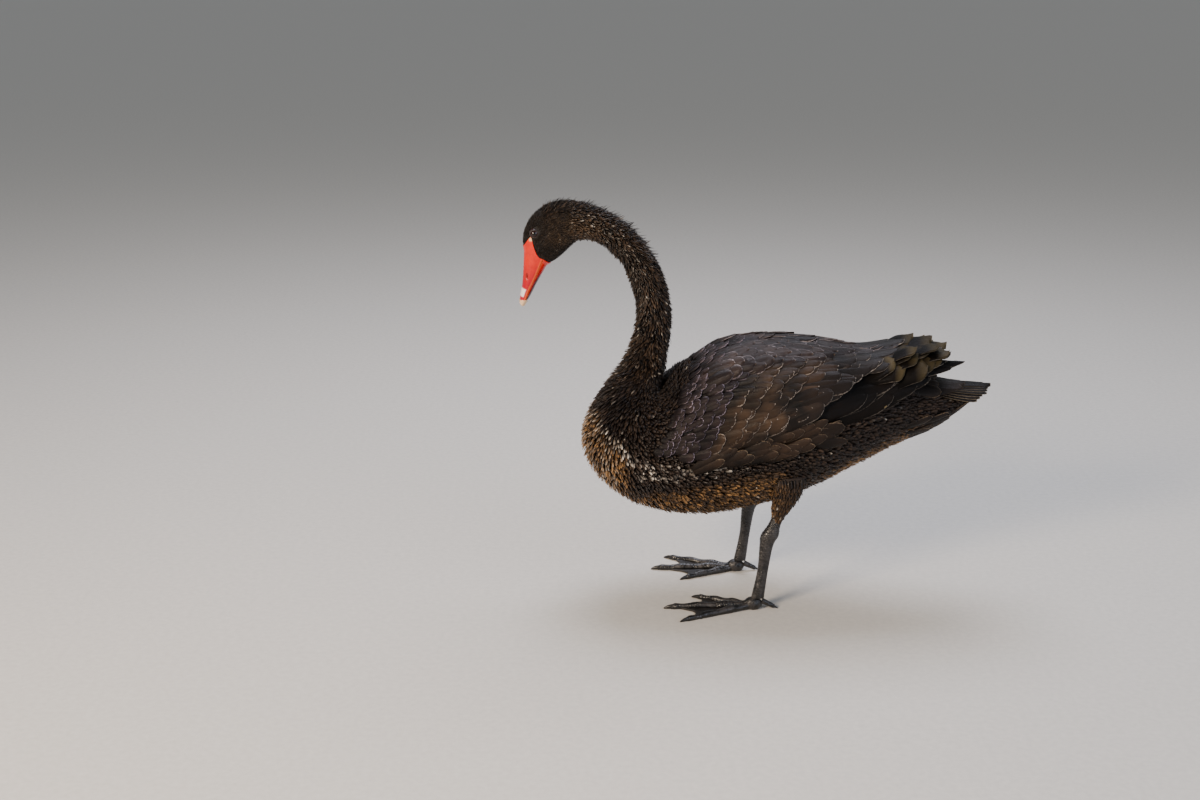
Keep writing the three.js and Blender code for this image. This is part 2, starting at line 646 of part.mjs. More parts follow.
function birdPieces() {
  const torsoRoom = bodyLength(TAIL_CUT, NECK_CUTS[0], 20, BODY_SIDES, SEAM);
  const neckRoom = bodyLength(NECK_CUTS[0], NECK_CUTS[1], 7, NECK_SIDES, SEAM);
  const tail = tailSolid();
  const tailRoom = [-SEAM, 0, SEAM].map((rise) => tail.translate(0, 0, rise));
  return {
    torso: bodyLength(TAIL_CUT, NECK_CUTS[0], 20, BODY_SIDES, 0, 0),
    neck_lower: bodyLength(NECK_CUTS[0], NECK_CUTS[1], 7, NECK_SIDES),
    neck_middle: bodyLength(NECK_CUTS[1], NECK_CUTS[2], 7, NECK_SIDES),
    neck_upper: bodyLength(NECK_CUTS[2], NECK_CUTS[3], 7, NECK_SIDES),
    tail,
    ...headPieces(),
    ...wingsAndLegs({ torsoRoom, room: joined([torsoRoom, neckRoom, ...tailRoom]) }),
  };
}

function materialFor(name) {
  const [part] = Object.keys(MATERIALS).filter((key) => name.startsWith(key));
  return new THREE.MeshStandardMaterial({ name: part, metalness: 0, ...MATERIALS[part] });
}

function bird() {
  const group = new THREE.Group();
  group.name = "black_swan";
  for (const [name, solid] of Object.entries(birdPieces())) {
    const mesh = new THREE.Mesh(geometryOf(solid), materialFor(name));
    mesh.name = name;
    group.add(mesh);
  }
  const box = new THREE.Box3().setFromObject(group);
  const middle = box.getCenter(new THREE.Vector3());
  group.children.forEach((mesh) => mesh.geometry.translate(-middle.x, -middle.y, -box.min.z));
  return group;
}

export default bird();
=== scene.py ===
"""The looks of a life-size black swan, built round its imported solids.

The bird faces -X, its left side is towards -Y and it stands on z = 0. Sizes are in mm until make_mesh turns
them to the frame's metres. Shapes are worked out with numpy as functions of a place along the body, counted
in its sections from the tail to the bill, and of an angle round it, from the back.
"""

import bpy
import numpy as np
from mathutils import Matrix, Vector


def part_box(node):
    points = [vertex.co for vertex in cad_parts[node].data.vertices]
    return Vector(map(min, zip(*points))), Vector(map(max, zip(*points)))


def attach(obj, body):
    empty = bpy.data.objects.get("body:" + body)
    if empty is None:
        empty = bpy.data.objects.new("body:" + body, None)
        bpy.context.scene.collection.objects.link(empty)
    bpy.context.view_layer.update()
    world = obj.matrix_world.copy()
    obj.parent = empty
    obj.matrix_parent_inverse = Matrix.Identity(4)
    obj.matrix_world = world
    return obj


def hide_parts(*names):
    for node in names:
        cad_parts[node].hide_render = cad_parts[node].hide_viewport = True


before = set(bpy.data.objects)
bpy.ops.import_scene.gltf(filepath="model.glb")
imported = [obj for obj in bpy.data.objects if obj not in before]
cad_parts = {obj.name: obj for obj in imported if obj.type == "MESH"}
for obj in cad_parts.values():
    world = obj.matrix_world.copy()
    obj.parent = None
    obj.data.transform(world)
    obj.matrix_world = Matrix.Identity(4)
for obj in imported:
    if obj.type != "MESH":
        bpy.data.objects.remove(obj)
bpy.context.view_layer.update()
LUCK = np.random.default_rng(20)
MM = 0.001

# Sections of body, neck, head and bill: back line x, z, belly line x, z, half width, and the share by
# which a section narrows to the back and widens to the belly
BODY = np.array([
    [510, 291, 507, 284, 14, 0], [466, 299, 460, 245, 38, 0], [402, 318, 397, 212, 60, 0],
    [348, 334, 340, 183, 82, 0], [288, 345, 282, 153, 96, 0], [224, 350, 220, 131, 103, 0.03],
    [158, 343, 150, 117, 105, 0.05], [112, 322, 85, 120, 103, 0.05], [98, 310, 32, 138, 97, 0.04],
    [90, 304, -8, 172, 88, 0.02], [86, 303, -25, 212, 77, 0], [86, 309, -18, 250, 63, 0],
    [88, 321, 4, 288, 47, 0], [91, 339, 27, 322, 35, 0], [95, 366, 43, 362, 28, 0],
    [95, 398, 47, 400, 25, 0], [88, 433, 40, 429, 24, 0], [72, 467, 28, 458, 23.5, 0],
    [44, 504, 6, 480, 23, 0], [9, 529, -14, 489, 22.5, 0], [-24, 540, -31, 488, 23, 0],
    [-50, 543, -39, 481, 24.5, 0.02], [-73, 536, -46, 474, 25.5, 0.08], [-90, 522, -53, 468, 25, 0.12],
    [-99, 505, -60, 463, 23, 0.14], [-101.5, 490, -66, 459, 19.5, 0.1], [-100, 475, -71, 455, 16.5, 0],
    [-100.5, 461, -76, 446, 15.2, -0.03], [-101.5, 445, -82.5, 434.5, 14, -0.05],
    [-103, 429, -88.5, 422.5, 13.4, -0.05], [-106, 414.5, -94.5, 411.5, 12.8, 0],
    [-106, 406, -98.5, 405, 10, 0], [-103, 400.5, -100, 401, 4.5, 0],
], float)
# The surface under the folded wings, which reaches further back and stands wider there than the body
WING_REAR = np.array([
    [535, 333, 508, 270, 34, 0], [476, 338, 455, 248, 54, 0], [408, 340, 396, 214, 71, 0],
], float)
WING = np.vstack([WING_REAR, BODY[3:]])
ROUNDNESS = 2.15
WHOLE_TURN = (-np.pi, np.pi)

# How deep the skin lies under the tips of its coat: places along the body, and the depths at them
BODY_COAT = ([0, 2, 9, 12, 15, 19, 21, 23, 25, 26.5], [5, 7, 7, 5.5, 4, 3.4, 2.4, 1.5, 1.0, 0.6])

# Lines on the bird's side, as x against z: the middle of the band of painted glints and the upper edge of the
# golden belly
GLINT_BAND_LINE = ([-6, 8, 26, 43, 66, 95, 118, 150], [274, 251, 231, 207, 201, 197, 208, 214])
# The belly's gold is partly a stain and partly painted warm light
GOLDEN_BELLY = ([20, 66, 132, 184, 236, 262, 300, 346, 400, 470, 510],
                [148, 168, 175, 186, 192, 180, 190, 214, 238, 256, 266])
# The painted glint band's half width, its two ends and the gap in it, as x
BAND_HALF = 7
BAND_ENDS = (-4, 150)
BAND_GAP = (101, 108)
# The golden front of the breast, partly a stain and partly painted warm light: its foremost and rearmost x
# and its lowest z
FRONT_ENDS = (-60, 46)
FRONT_LOW = 138
# The belly's duller part behind the legs and where its richer part starts, as x, and the cheek's x and z
BEHIND_LEGS = (236, 282)
RICH_FROM = 285
CHEEK = ((-58, -22), (494, 516))

# The eye: its middle's x and z, the ball's radius, the two ends of the pupil's soft edge, the lid's radius
# along the head and how much less it is across, its tube's radius and how much more it is above the eye, the
# radius that the coat leaves bare for it, and how far from the middle the head's side begins
EYE = np.array([-85.7, 501.0])
EYE_BALL = 7.0
PUPIL_EDGE = (2.5, 2.9)
LID_RADIUS, LID_FLATTER = 5.3, 0.45
LID_TUBE, LID_HEAVIER = 0.85, 0.2
LID_ROOM = 6.6
HEAD_SIDE = 8

# The edge of the feathers round the bill and the mouth's line, as x and z
FEATHER_EDGE = np.array([[-125, 479], [-100.2, 481], [-94.5, 490.5], [-90.5, 495], [-88.3, 488], [-85.8, 479],
                         [-82.5, 471.7], [-79, 467.3], [-75, 466], [-70.6, 463], [-50, 447]], float)
MOUTH = np.array([[-74, 470], [-77, 462.5], [-84, 445], [-89, 434.5], [-95, 422.5], [-98.5, 412],
                  [-94, 400]], float)

# The bill: where its outlines start, its halves' tips as places along the body, the nostril's middle and the
# half sizes of its hollow and of its hole, which is painted dark as the shade in it, the white bar's edges,
# the nail's edge and the pale spot at the eye
BILL_LINES = BODY[26:]
FACE, UPPER_TIP, LOWER_TIP = 23.6, 32, 31.75
NOSTRIL = (-96.0, 444.0)
NOSTRIL_HOLLOW = (1.9, 4.4)
NOSTRIL_HOLE = (1.5, 4.0)
WHITE_BAR = (417.5, 426.5)
NAIL_EDGE = 412.0
PALE_SPOT = (-90.5, 493.5)

# Thigh and shank as sections from the lowest up, and how deep a thigh's skin lies under its coat
THIGH = np.array([
    [246.5, 131, 227.5, 131, 8.5, 0], [266, 160, 226, 160, 16, 0], [278, 188, 222, 188, 22, 0],
])
THIGH_COAT = ([0, 1, 2], [1.5, 3, 5])
SHANK = np.array([
    [220.6, 16, 203.4, 16, 6.4, 0], [225.2, 55, 210.8, 55, 5.2, 0], [231.2, 90, 212.8, 90, 6.8, 0],
    [238, 104, 214, 104, 8.6, 0], [239.8, 117, 222.2, 117, 7, 0], [244.6, 131, 229.4, 131, 6.6, 0],
])
# How far each leg is moved from the middle, the foot's own middle, and each front toe's turn in degrees from
# straight ahead, its length and its half width
LEGS = {"left": np.array([0.0, -72.0, 0.0]), "right": np.array([-13.0, 72.0, 0.0])}
FOOT_MIDDLE = np.array([203.0, 0.0, 0.0])
TOES = ((-27, 78, 5.0), (1, 108, 5.6), (27, 100, 5.0))

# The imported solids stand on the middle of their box, so the sections move with the left eye's place
EYE_LOW, EYE_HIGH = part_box("eye_left")
SHIFT = np.array([(EYE_LOW[0] + EYE_HIGH[0]) / 2 / MM - EYE[0], 0.0,
                  (EYE_LOW[2] + EYE_HIGH[2]) / 2 / MM - EYE[1]])


# Surfaces


def curve(points, place):
    """A smooth line through rows of points: on each stretch a cubic whose slope at a point is half the
    step from the point before it to the point after it. Place counts the points."""
    points = np.asarray(points, float)
    padded = np.vstack([2 * points[0] - points[1], points, 2 * points[-1] - points[-2]])
    place = np.clip(np.asarray(place, float), 0, len(points) - 1)
    i = np.minimum(place.astype(int), len(points) - 2)
    t = (place - i)[..., None]
    a, b, c, d = (padded[i + k] for k in range(4))
    return 0.5 * (2 * b + (c - a) * t + (2 * a - 5 * b + 4 * c - d) * t**2 + (3 * b - a - 3 * c + d) * t**3)


def rounded(value):
    """The share of a half size at a sine or cosine: the value raised to 2 over the roundness, sign kept."""
    return np.sign(value) * np.abs(value) ** (2 / ROUNDNESS)


def surface(place, angle, height=0.0, lines=BODY):
    """A point in mm: the middle of back and belly line, plus the upward line times the rounded cosine, plus
    the sideways line times the rounded sine and the section's half width. Height adds to both half sizes."""
    s = curve(lines, place)
    back = np.stack([s[..., 0], 0 * s[..., 0], s[..., 1]], -1)
    belly = np.stack([s[..., 2], 0 * s[..., 0], s[..., 3]], -1)
    up = back - belly
    length = np.linalg.norm(up, axis=-1, keepdims=True)
    cosine, sine = np.cos(angle), np.sin(angle)
    rise = rounded(cosine) * (length[..., 0] / 2 + height)
    across = rounded(sine) * (s[..., 4] + height) * (1 - s[..., 5] * cosine)
    point = (back + belly) / 2 + up / length * rise[..., None]
    point[..., 1] += across
    return point


def mean_radius(sections):
    """The mean of the half height and the half width of sections."""
    high = np.hypot(sections[..., 0] - sections[..., 2], sections[..., 1] - sections[..., 3])
    return high / 4 + sections[..., 4] / 2


def unit(vector):
    """Vectors brought to the length 1."""
    return vector / (np.linalg.norm(vector, axis=-1, keepdims=True) + 1e-12)


def lie(place, angle, lines):
    """The tailward, sideways and outward directions of the surface, from its small steps along and round."""
    tailward = unit(surface(place - 0.02, angle, 0, lines) - surface(place + 0.02, angle, 0, lines))
    across = unit(surface(place, angle + 0.01, 0, lines) - surface(place, angle - 0.01, 0, lines))
    return tailward, across, unit(np.cross(tailward, across))


def smooth(value):
    """0 below 0, 1 above 1, and between them 3 times the square less 2 times the cube."""
    value = np.clip(value, 0, 1)
    return value * value * (3 - 2 * value)


def hump(value, low, high, soft):
    """1 between low and high, falling to 0 over the soft distance outside them."""
    return smooth((value - low) / soft + 1) * smooth((high - value) / soft + 1)


def ripple(points, size, seed):
    """A soft unevenness between -1 and 1, the mean of three crossing sine waves about one size long."""
    x, y, z = (points[..., k] * 2 * np.pi / size for k in range(3))
    waves = np.sin(x + 0.7 * y + seed) + np.sin(1.3 * y - z + 2.1 * seed) + np.sin(z * 1.1 + 0.6 * x + 4.2)
    return waves / 3


def round_turn(count):
    """Angles in equal steps once round."""
    return np.linspace(0, 2 * np.pi, count, endpoint=False)


def tube_grid(along, count):
    """Values along a tube and count angles round it, as two arrays of one shape."""
    return np.broadcast_arrays(along[:, None], round_turn(count)[None])


# Meshes


def turned_corners(values, faces):
    """The values of every face's corners in the opposite order."""
    ends = np.cumsum([f.size for f in faces])
    parts = np.split(values, ends[:-1])
    return np.concatenate([v.reshape(len(f), -1, 2)[:, ::-1].reshape(-1, 2) for v, f in zip(parts, faces)])


def make_mesh(name, points, faces, attributes=None, uvs=None):
    """A mesh from points in mm and a list of arrays of faces, each with one count of corners. Attributes are
    one number a point, uvs one pair a corner. Where the volume under the faces is negative, they face
    inwards, and their corners are put in the opposite order."""
    points = (points.reshape(-1, 3) + SHIFT) * MM
    fans = [points[f[:, [0, k, k + 1]]] for f in faces for k in range(1, f.shape[1] - 1)]
    if sum(np.einsum("ij,ij->", fan[:, 0], np.cross(fan[:, 1], fan[:, 2])) for fan in fans) < -1e-12:
        uvs = {label: turned_corners(values, faces) for label, values in (uvs or {}).items()}
        faces = [f[:, ::-1] for f in faces]
    counts = np.concatenate([np.full(len(f), f.shape[1]) for f in faces])
    corners = np.concatenate([f.ravel() for f in faces]).astype(np.int32)
    mesh = bpy.data.meshes.new(name)
    mesh.vertices.add(len(points))
    mesh.vertices.foreach_set("co", points.astype(np.float32).ravel())
    mesh.loops.add(len(corners))
    mesh.loops.foreach_set("vertex_index", corners)
    mesh.polygons.add(len(counts))
    mesh.polygons.foreach_set("loop_start", (np.cumsum(counts) - counts).astype(np.int32))
    mesh.polygons.foreach_set("use_smooth", np.ones(len(counts), bool))
    for label, values in (uvs or {}).items():
        layer = mesh.uv_layers.new(name=label)
        layer.data.foreach_set("uv", values.astype(np.float32).ravel())
    for label, values in (attributes or {}).items():
        layer = mesh.attributes.new(label, "FLOAT", "POINT")
        layer.data.foreach_set("value", np.broadcast_to(values, points.shape[:1]).astype(np.float32).ravel())
    mesh.update(calc_edges=True)
    piece = bpy.data.objects.new(name, mesh)
    bpy.context.scene.collection.objects.link(piece)
    return piece


def place_piece(piece, material, slot, *nodes):
    """Gives a piece its material and its body, and says which solids it stands in for. Its slot is not used.
    """
    piece.data.materials.append(material)
    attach(piece, "root")
    if nodes:
        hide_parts(*nodes)


def grid_faces(rows, columns, closed=False):
    """Corners of the quads of a grid of rows of points, joined round where closed."""
    i, j = np.meshgrid(np.arange(rows - 1), np.arange(columns - (not closed)), indexing="ij")
    right = (j + 1) % columns
    return np.stack([i * columns + j, i * columns + right, (i + 1) * columns + right, (i + 1) * columns + j],
                    -1).reshape(-1, 4)


def closed_tube(rings):
    """Points and faces of a tube of rings with a fan at each end."""
    rows, columns = rings.shape[:2]
    points = np.vstack([rings.reshape(-1, 3), rings[0].mean(0), rings[-1].mean(0)])
    around = np.arange(columns)
    following = (around + 1) % columns
    last = (rows - 1) * columns
    ends = np.vstack([
        np.stack([following, around, np.full(columns, rows * columns)], -1),
        np.stack([last + around, last + following, np.full(columns, rows * columns + 1)], -1),
    ])
    return points, [grid_faces(rows, columns, True), ends]


def plate(outer, inner):
    """Points and faces of a closed plate between two grids of points of one size."""
    rows, columns = outer.shape[:2]
    far = rows * columns
    top = grid_faces(rows, columns)
    rim = np.concatenate([np.arange(columns), np.arange(1, rows) * columns + columns - 1,
                          far - 2 - np.arange(columns - 1), np.arange(rows - 2, 0, -1) * columns])
    ahead = np.roll(rim, -1)
    sides = np.stack([ahead, rim, rim + far, ahead + far], -1)
    return np.vstack([outer.reshape(-1, 3), inner.reshape(-1, 3)]), [top, top[:, ::-1] + far, sides]


# Coat of small feathers

# A blade has rings at these shares of its length, with corners at these shares of its half width, and a tip
RING_PLACES = np.array([0.0, 0.34, 0.7, 0.92])
RING_CORNERS = np.array([-1.0, 0.0, 1.0])
POINTED = (0.6, 1.0, 0.78, 0.36)
ROUND = (0.6, 0.95, 1.0, 0.66)
BLADE_ALONG = np.append(np.repeat(RING_PLACES, len(RING_CORNERS)), 1.0)
BLADE_ACROSS = np.append(np.tile(RING_CORNERS, len(RING_PLACES)), 0.0)
BLADE_POINTS = len(BLADE_ALONG)
# How far a blade's root lies under the skin, and the share of the blades in the band of painted glints that
# get a painted glint
ROOT_SUNK = 0.5
GLINT_BLADES = 0.55
# A blade's size on the coat's texture map, and the share of the map that the roots take
MAP_PATCH = 0.003
MAP_ROOM = 0.995


def blade_faces(number):
    """Faces of closed blades: quads between the rings, a fan to the tip and one face over the root."""
    corners = len(RING_CORNERS)
    side = grid_faces(len(RING_PLACES), corners, True)
    around = np.arange(corners)
    last = BLADE_POINTS - 1 - corners
    tip = np.stack([last + around, last + (around + 1) % corners, np.full(corners, BLADE_POINTS - 1)], -1)
    root = around[None, ::-1]
    start = (np.arange(number) * BLADE_POINTS)[:, None, None]
    return [(side + start).reshape(-1, 4), (np.vstack([tip, root]) + start).reshape(-1, 3)]


def blades(roots, tailward, across, outward, length, width, rise, turn, bend, shape, ridge):
    """Points of tapered blades, one a root. A point goes along its blade by length times t, sideways by half
    the width times the ring's share w and the corner's share c, plus bend times length times t squared, and
    outward by rise times t to the power 1.3, less the depth that its root is sunk. The middle of a ring
    stands up as a ridge, and turn swings the blade round its root."""
    t = np.append(RING_PLACES, 1.0)[None, :, None]
    w = np.append(shape, 0.0)[None, :, None]
    c = RING_CORNERS[None, None, :]
    length, width, rise, turn, bend = (v[:, None, None] for v in (length, width, rise, turn, bend))
    forward = length * t + 0 * c
    sideways = width * w * c / 2 + bend * length * t**2
    out = rise * t**1.3 - ROOT_SUNK + width * w * ridge * (1 - np.abs(c))
    way = tailward[:, None, None] * np.cos(turn)[..., None] + across[:, None, None] * np.sin(turn)[..., None]
    side = across[:, None, None] * np.cos(turn)[..., None] - tailward[:, None, None] * np.sin(turn)[..., None]
    points = (roots[:, None, None] + way * forward[..., None] + side * sideways[..., None]
              + outward[:, None, None] * out[..., None])
    rings, tips = points[:, :-1].reshape(len(roots), -1, 3), points[:, -1, 1:2]
    return np.concatenate([rings, tips], 1)


def roots_on(lines, start, stop, row_step, gap, spread):
    """Roots in staggered rows between two places and two angles: rows lie row_step apart along the body's
    middle, and the roots of a row lie gap apart round it, each moved by a seeded part of the spacing."""
    fine = np.linspace(start, stop, 800)
    s = curve(lines, fine)
    middle = (s[:, [0, 1]] + s[:, [2, 3]]) / 2
    run = np.concatenate([[0], np.cumsum(np.linalg.norm(np.diff(middle, axis=0), axis=1))])
    rows = np.interp(np.arange(0, run[-1], row_step), run, fine)
    girth = 2 * np.pi * mean_radius(curve(lines, rows))
    share = (spread[1] - spread[0]) / (2 * np.pi)
    counts = np.maximum(3, (girth * share / gap).astype(int))
    in_row = np.repeat(counts, counts)
    first = np.repeat(np.cumsum(counts) - counts, counts)
    odd = np.repeat(np.arange(len(rows)) % 2, counts)
    step = (np.arange(counts.sum()) - first + 0.5 * odd) / in_row
    place = np.repeat(rows, counts)
    place = place + LUCK.uniform(-0.5, 0.5, len(place)) * np.repeat(np.gradient(rows), counts)
    step = step + LUCK.uniform(-0.5, 0.5, len(place)) / in_row
    return np.clip(place, start, stop), spread[0] + (spread[1] - spread[0]) * step


def markings_and_painted_light(points):
    """How golden brown the coat is at each point, from its place on the bird, and how much painted glint it
    has. The gold is partly a stain and partly painted warm light, and the painted glints are pale tips that
    stand for wet feathers catching the light. The breast's front is golden in patches, up to a ragged edge,
    and its foremost part has painted highlights. A band of painted glints runs from high on the breast down
    and back along its side. Below a line from breast to tail the belly is golden, most of all towards the
    tail and least behind the legs. The cheek has a brown cast."""
    x, y, z = points[..., 0], np.abs(points[..., 1]), points[..., 2]
    patch = 0.5 + 0.5 * ripple(points, 34, 1.0)
    band_z = np.interp(x, *GLINT_BAND_LINE)
    ragged = band_z + 16 * ripple(points, 26, 7.0)
    front = smooth((ragged - z) / 26 + 0.3) * smooth((z - FRONT_LOW) / 24)
    front = front * smooth((FRONT_ENDS[1] - x) / 30) * smooth((x - FRONT_ENDS[0]) / 20)
    low_side = smooth((np.interp(x, *GOLDEN_BELLY) - z) / 22 + 0.5)
    low_side = low_side * (1 - 0.75 * hump(x, *BEHIND_LEGS, 12) * smooth((200 - z) / 14))
    low_side = low_side * (1 + 0.7 * smooth((x - RICH_FROM) / 30))
    spotted = smooth(0.5 + 1.1 * ripple(points, 19, 5.0))
    # The gold is partly a stain and partly painted warm light
    golden = front * (0.35 + 0.9 * patch * spotted + 0.3 * patch) + low_side * (0.3 + 0.6 * spotted)
    cheek = 0.5 * hump(x, *CHEEK[0], 26) * hump(z, *CHEEK[1], 16)
    golden = np.maximum(np.clip(golden, 0, 1), cheek)
    # Painted glints: pale tips along the band, where wet feathers catch the light
    painted_glint = hump(z - band_z, -BAND_HALF, BAND_HALF, BAND_HALF) * hump(x, *BAND_ENDS, 8)
    painted_glint = painted_glint * smooth((y - 12) / 25) * smooth(0.7 + 0.8 * ripple(points, 24, 3.0))
    painted_glint = painted_glint * (1 - 0.8 * hump(x, *BAND_GAP, 5))
    # Painted highlights on the front of the breast
    painted_glint = np.maximum(painted_glint, 0.35 * front * (x < 20))
    return golden, painted_glint


def coat(name, material, start, stop, row_step, gap, length, width, rise, scatter=7.0, shaggy=0.25,
         glint_share=0.03, shape=ROUND, ridge=0.13, spread=WHOLE_TURN, keep=None, lines=BODY, offset=(0, 0, 0),
         under=BODY_COAT):
    """A piece of coat: blades on the skin's shape between two places, lying towards the tail. A blade rises
    by rise times the coat's depth, more or less by the share shaggy, and is turned by about scatter degrees
    and by a slow drift. One argument gives the share of blades with a painted glint of their own, a pale tip
    that stands for a wet tip catching the light, and keep says from the points and angles of the roots which
    ones stay."""
    place, angle = roots_on(lines, start, stop, row_step, gap, spread)
    if keep is not None:
        chosen = keep(surface(place, angle, 0, lines), angle)
        place, angle = place[chosen], angle[chosen]
    depth = np.interp(place, *under)
    roots = surface(place, angle, -depth, lines)
    tailward, across, outward = lie(place, angle, lines)
    number = len(place)
    longer, wider, higher, turned, bent, richer = LUCK.normal(size=(6, number))
    length = length * np.clip(1 + 0.16 * longer, 0.6, 1.5)
    width = width * np.clip(1 + 0.2 * wider, 0.5, 1.6)
    height = np.maximum(depth * rise + 0.5 + shaggy * higher * depth, 0.4 * depth)
    turn = np.radians(scatter * turned + 5 * ripple(roots, 30, 2.0))
    points = blades(roots, tailward, across, outward, length, width, height, turn, 0.08 * bent, shape, ridge)
    golden, painted_glint = markings_and_painted_light(roots + np.array(offset))
    # Painted glints: pale tips on a share of the blades and on the band's blades, standing for wet tips that
    # catch the light
    glint_draw = LUCK.random(number)
    painted_glint = painted_glint * (LUCK.random(number) < GLINT_BLADES)
    painted_glint = np.where(glint_draw < glint_share, 0.75 * (glint_draw / glint_share) ** 2, painted_glint) * LUCK.random(number)
    each = {"golden": golden * np.clip(1 + 0.35 * richer, 0.2, 1.6), "painted_glint": painted_glint,
            "shade": LUCK.random(number)}
    attributes = {label: np.repeat(values, BLADE_POINTS) for label, values in each.items()}
    attributes["tip"] = np.tile(BLADE_ALONG, number)
    piece = make_mesh(name, points + np.array(offset), blade_faces(number), attributes,
                      {"OFBake": coat_map(place, angle, start, stop)})
    place_piece(piece, material, "plumage")


def coat_map(place, angle, start, stop):
    """The texture map of a coat: the skin cut open along the belly, with each blade a small patch at its
    root, laid out by the blade's own length and width."""
    quads, triangles = (f.ravel() for f in blade_faces(1))
    local = np.stack([BLADE_ACROSS / 2 + 0.5, BLADE_ALONG], -1) * MAP_PATCH
    u = MAP_ROOM * (np.mod(angle + np.pi, 2 * np.pi) / (2 * np.pi))
    v = MAP_ROOM * (place - start) / (stop - start)
    home = np.stack([u, v], -1)[:, None]
    return np.concatenate([(home + local[corners]).reshape(-1, 2) for corners in (quads, triangles)])


# Large feathers of wing and tail

# Places along the body from the shoulder to the tail, a vane's thickness, and its quill's half width as a
# share of its own half width
LINE_PLACES = np.linspace(10, 0, 400)
VANE_THICKNESS = 0.4
QUILL_SHARE = 0.16
# The folded arm: its two ends, how high it swells, and the angles from the back of its upper and lower edges
ARM_ENDS = (88, 450)
ARM_HEIGHT = 9
ARM_TOP = ([88, 190], [38, 2])
ARM_LOW = ([88, 258, 428], [80, 90, 70])
# The closed plate under the arm's vanes: its ends, its lower edge, how far it lies under the swelling and how
# far inside the body its back is
PLATE_ENDS = (100, 416)
PLATE_LOW = ([88, 258, 428], [80, 89, 60])
PLATE_SUNK = 1.6
PLATE_BACK = -9.0
# The tail's fan: how many vanes it has, their roots' x and z, the half spread in degrees, the longest vane,
# the half width of all, how much shorter they get over the whole fan, how far each vane lies under the one
# before it, and how far a vane falls for each mm of its length
TAIL_VANES = 14
TAIL_ROOT = (410, 301)
TAIL_SPREAD = 29
TAIL_LENGTH = 113
TAIL_HALF_WIDTH = 14
TAIL_SHORTER = 17
TAIL_STEP = 0.62
TAIL_FALL = 0.06
# The stretch of a wing's x that is painted as lit, where its brown is warmest and away from which it is
# painted darker
LIT_PART = (140, 250)
# A vane's face in its cell of the texture map: its width and length, and the border round it
FACE_IN_CELL = (0.44, 0.92)
CELL_BORDER = 0.03


def vane_shares(rows, columns):
    """The shares of a vane's length and of its half width at its grid's corners, closer towards the tip."""
    return 1 - (1 - np.linspace(0, 1, rows)) ** 1.5, np.linspace(-1, 1, columns)


def outline_width(t, round_from):
    """The share of a vane's full width at t. It grows from a half at the root to all of it at 0.3 of the
    length. Past round_from it is the square root of 1 less the share of the tip to the power 2.2."""
    closing = np.clip((t - round_from) / (1 - round_from), 0, 1)
    return (0.5 + 0.5 * smooth(t / 0.3)) * np.sqrt(np.clip(1 - closing**2.2, 0.004, 1))


def place_at(lines, x):
    """The place along the body whose section has its middle at x."""
    s = curve(lines, LINE_PLACES)
    return np.interp(x, (s[:, 0] + s[:, 2]) / 2, LINE_PLACES)


def over_body(lines, x, angle, height, side):
    """A point of the body at x, an angle from the back and a height over the skin, on one side of it."""
    point = surface(place_at(lines, x), angle, height, lines)
    point[..., 1] *= side
    return point


def arm_height(x, angle):
    """How far the folded arm stands over the flank: its height times the square root of a parabola from edge
    to edge, and times the square root of two ramps that fall to 0 at its ends."""
    degrees = np.degrees(np.abs(angle))
    top, low = np.interp(x, *ARM_TOP), np.interp(x, *ARM_LOW)
    share = np.clip((degrees - top) / (low - top), 0, 1)
    front, rear = np.clip((x - ARM_ENDS[0]) / 64, 0, 1), np.clip((ARM_ENDS[1] - x) / 120, 0, 1)
    return ARM_HEIGHT * np.sqrt(np.clip(4 * share * (1 - share), 0, 1)) * np.sqrt(front * rear)


def quill(c):
    """The raised quill's share of its height across a vane: a bell curve round its middle."""
    return np.exp(-(c / QUILL_SHARE) ** 2)


def vane_values(t, c, w, half_width, length, forward, sideways, lit_patch):
    """What the vanes' material reads at each point: how far the border is, how far the point lies across the
    slanting barbs, the share of the length, how strongly the brown is painted as lit, and the vane's own
    seeded shade."""
    none = 0 * forward
    border = np.minimum((1 - np.abs(c)) * w * half_width, (1 - t) * length)
    return {"border": border, "barb": forward - np.abs(sideways) * 1.1, "tip": t + none, "lit_patch": lit_patch + none,
            "shade": LUCK.random(len(forward))[:, None, None] + none}


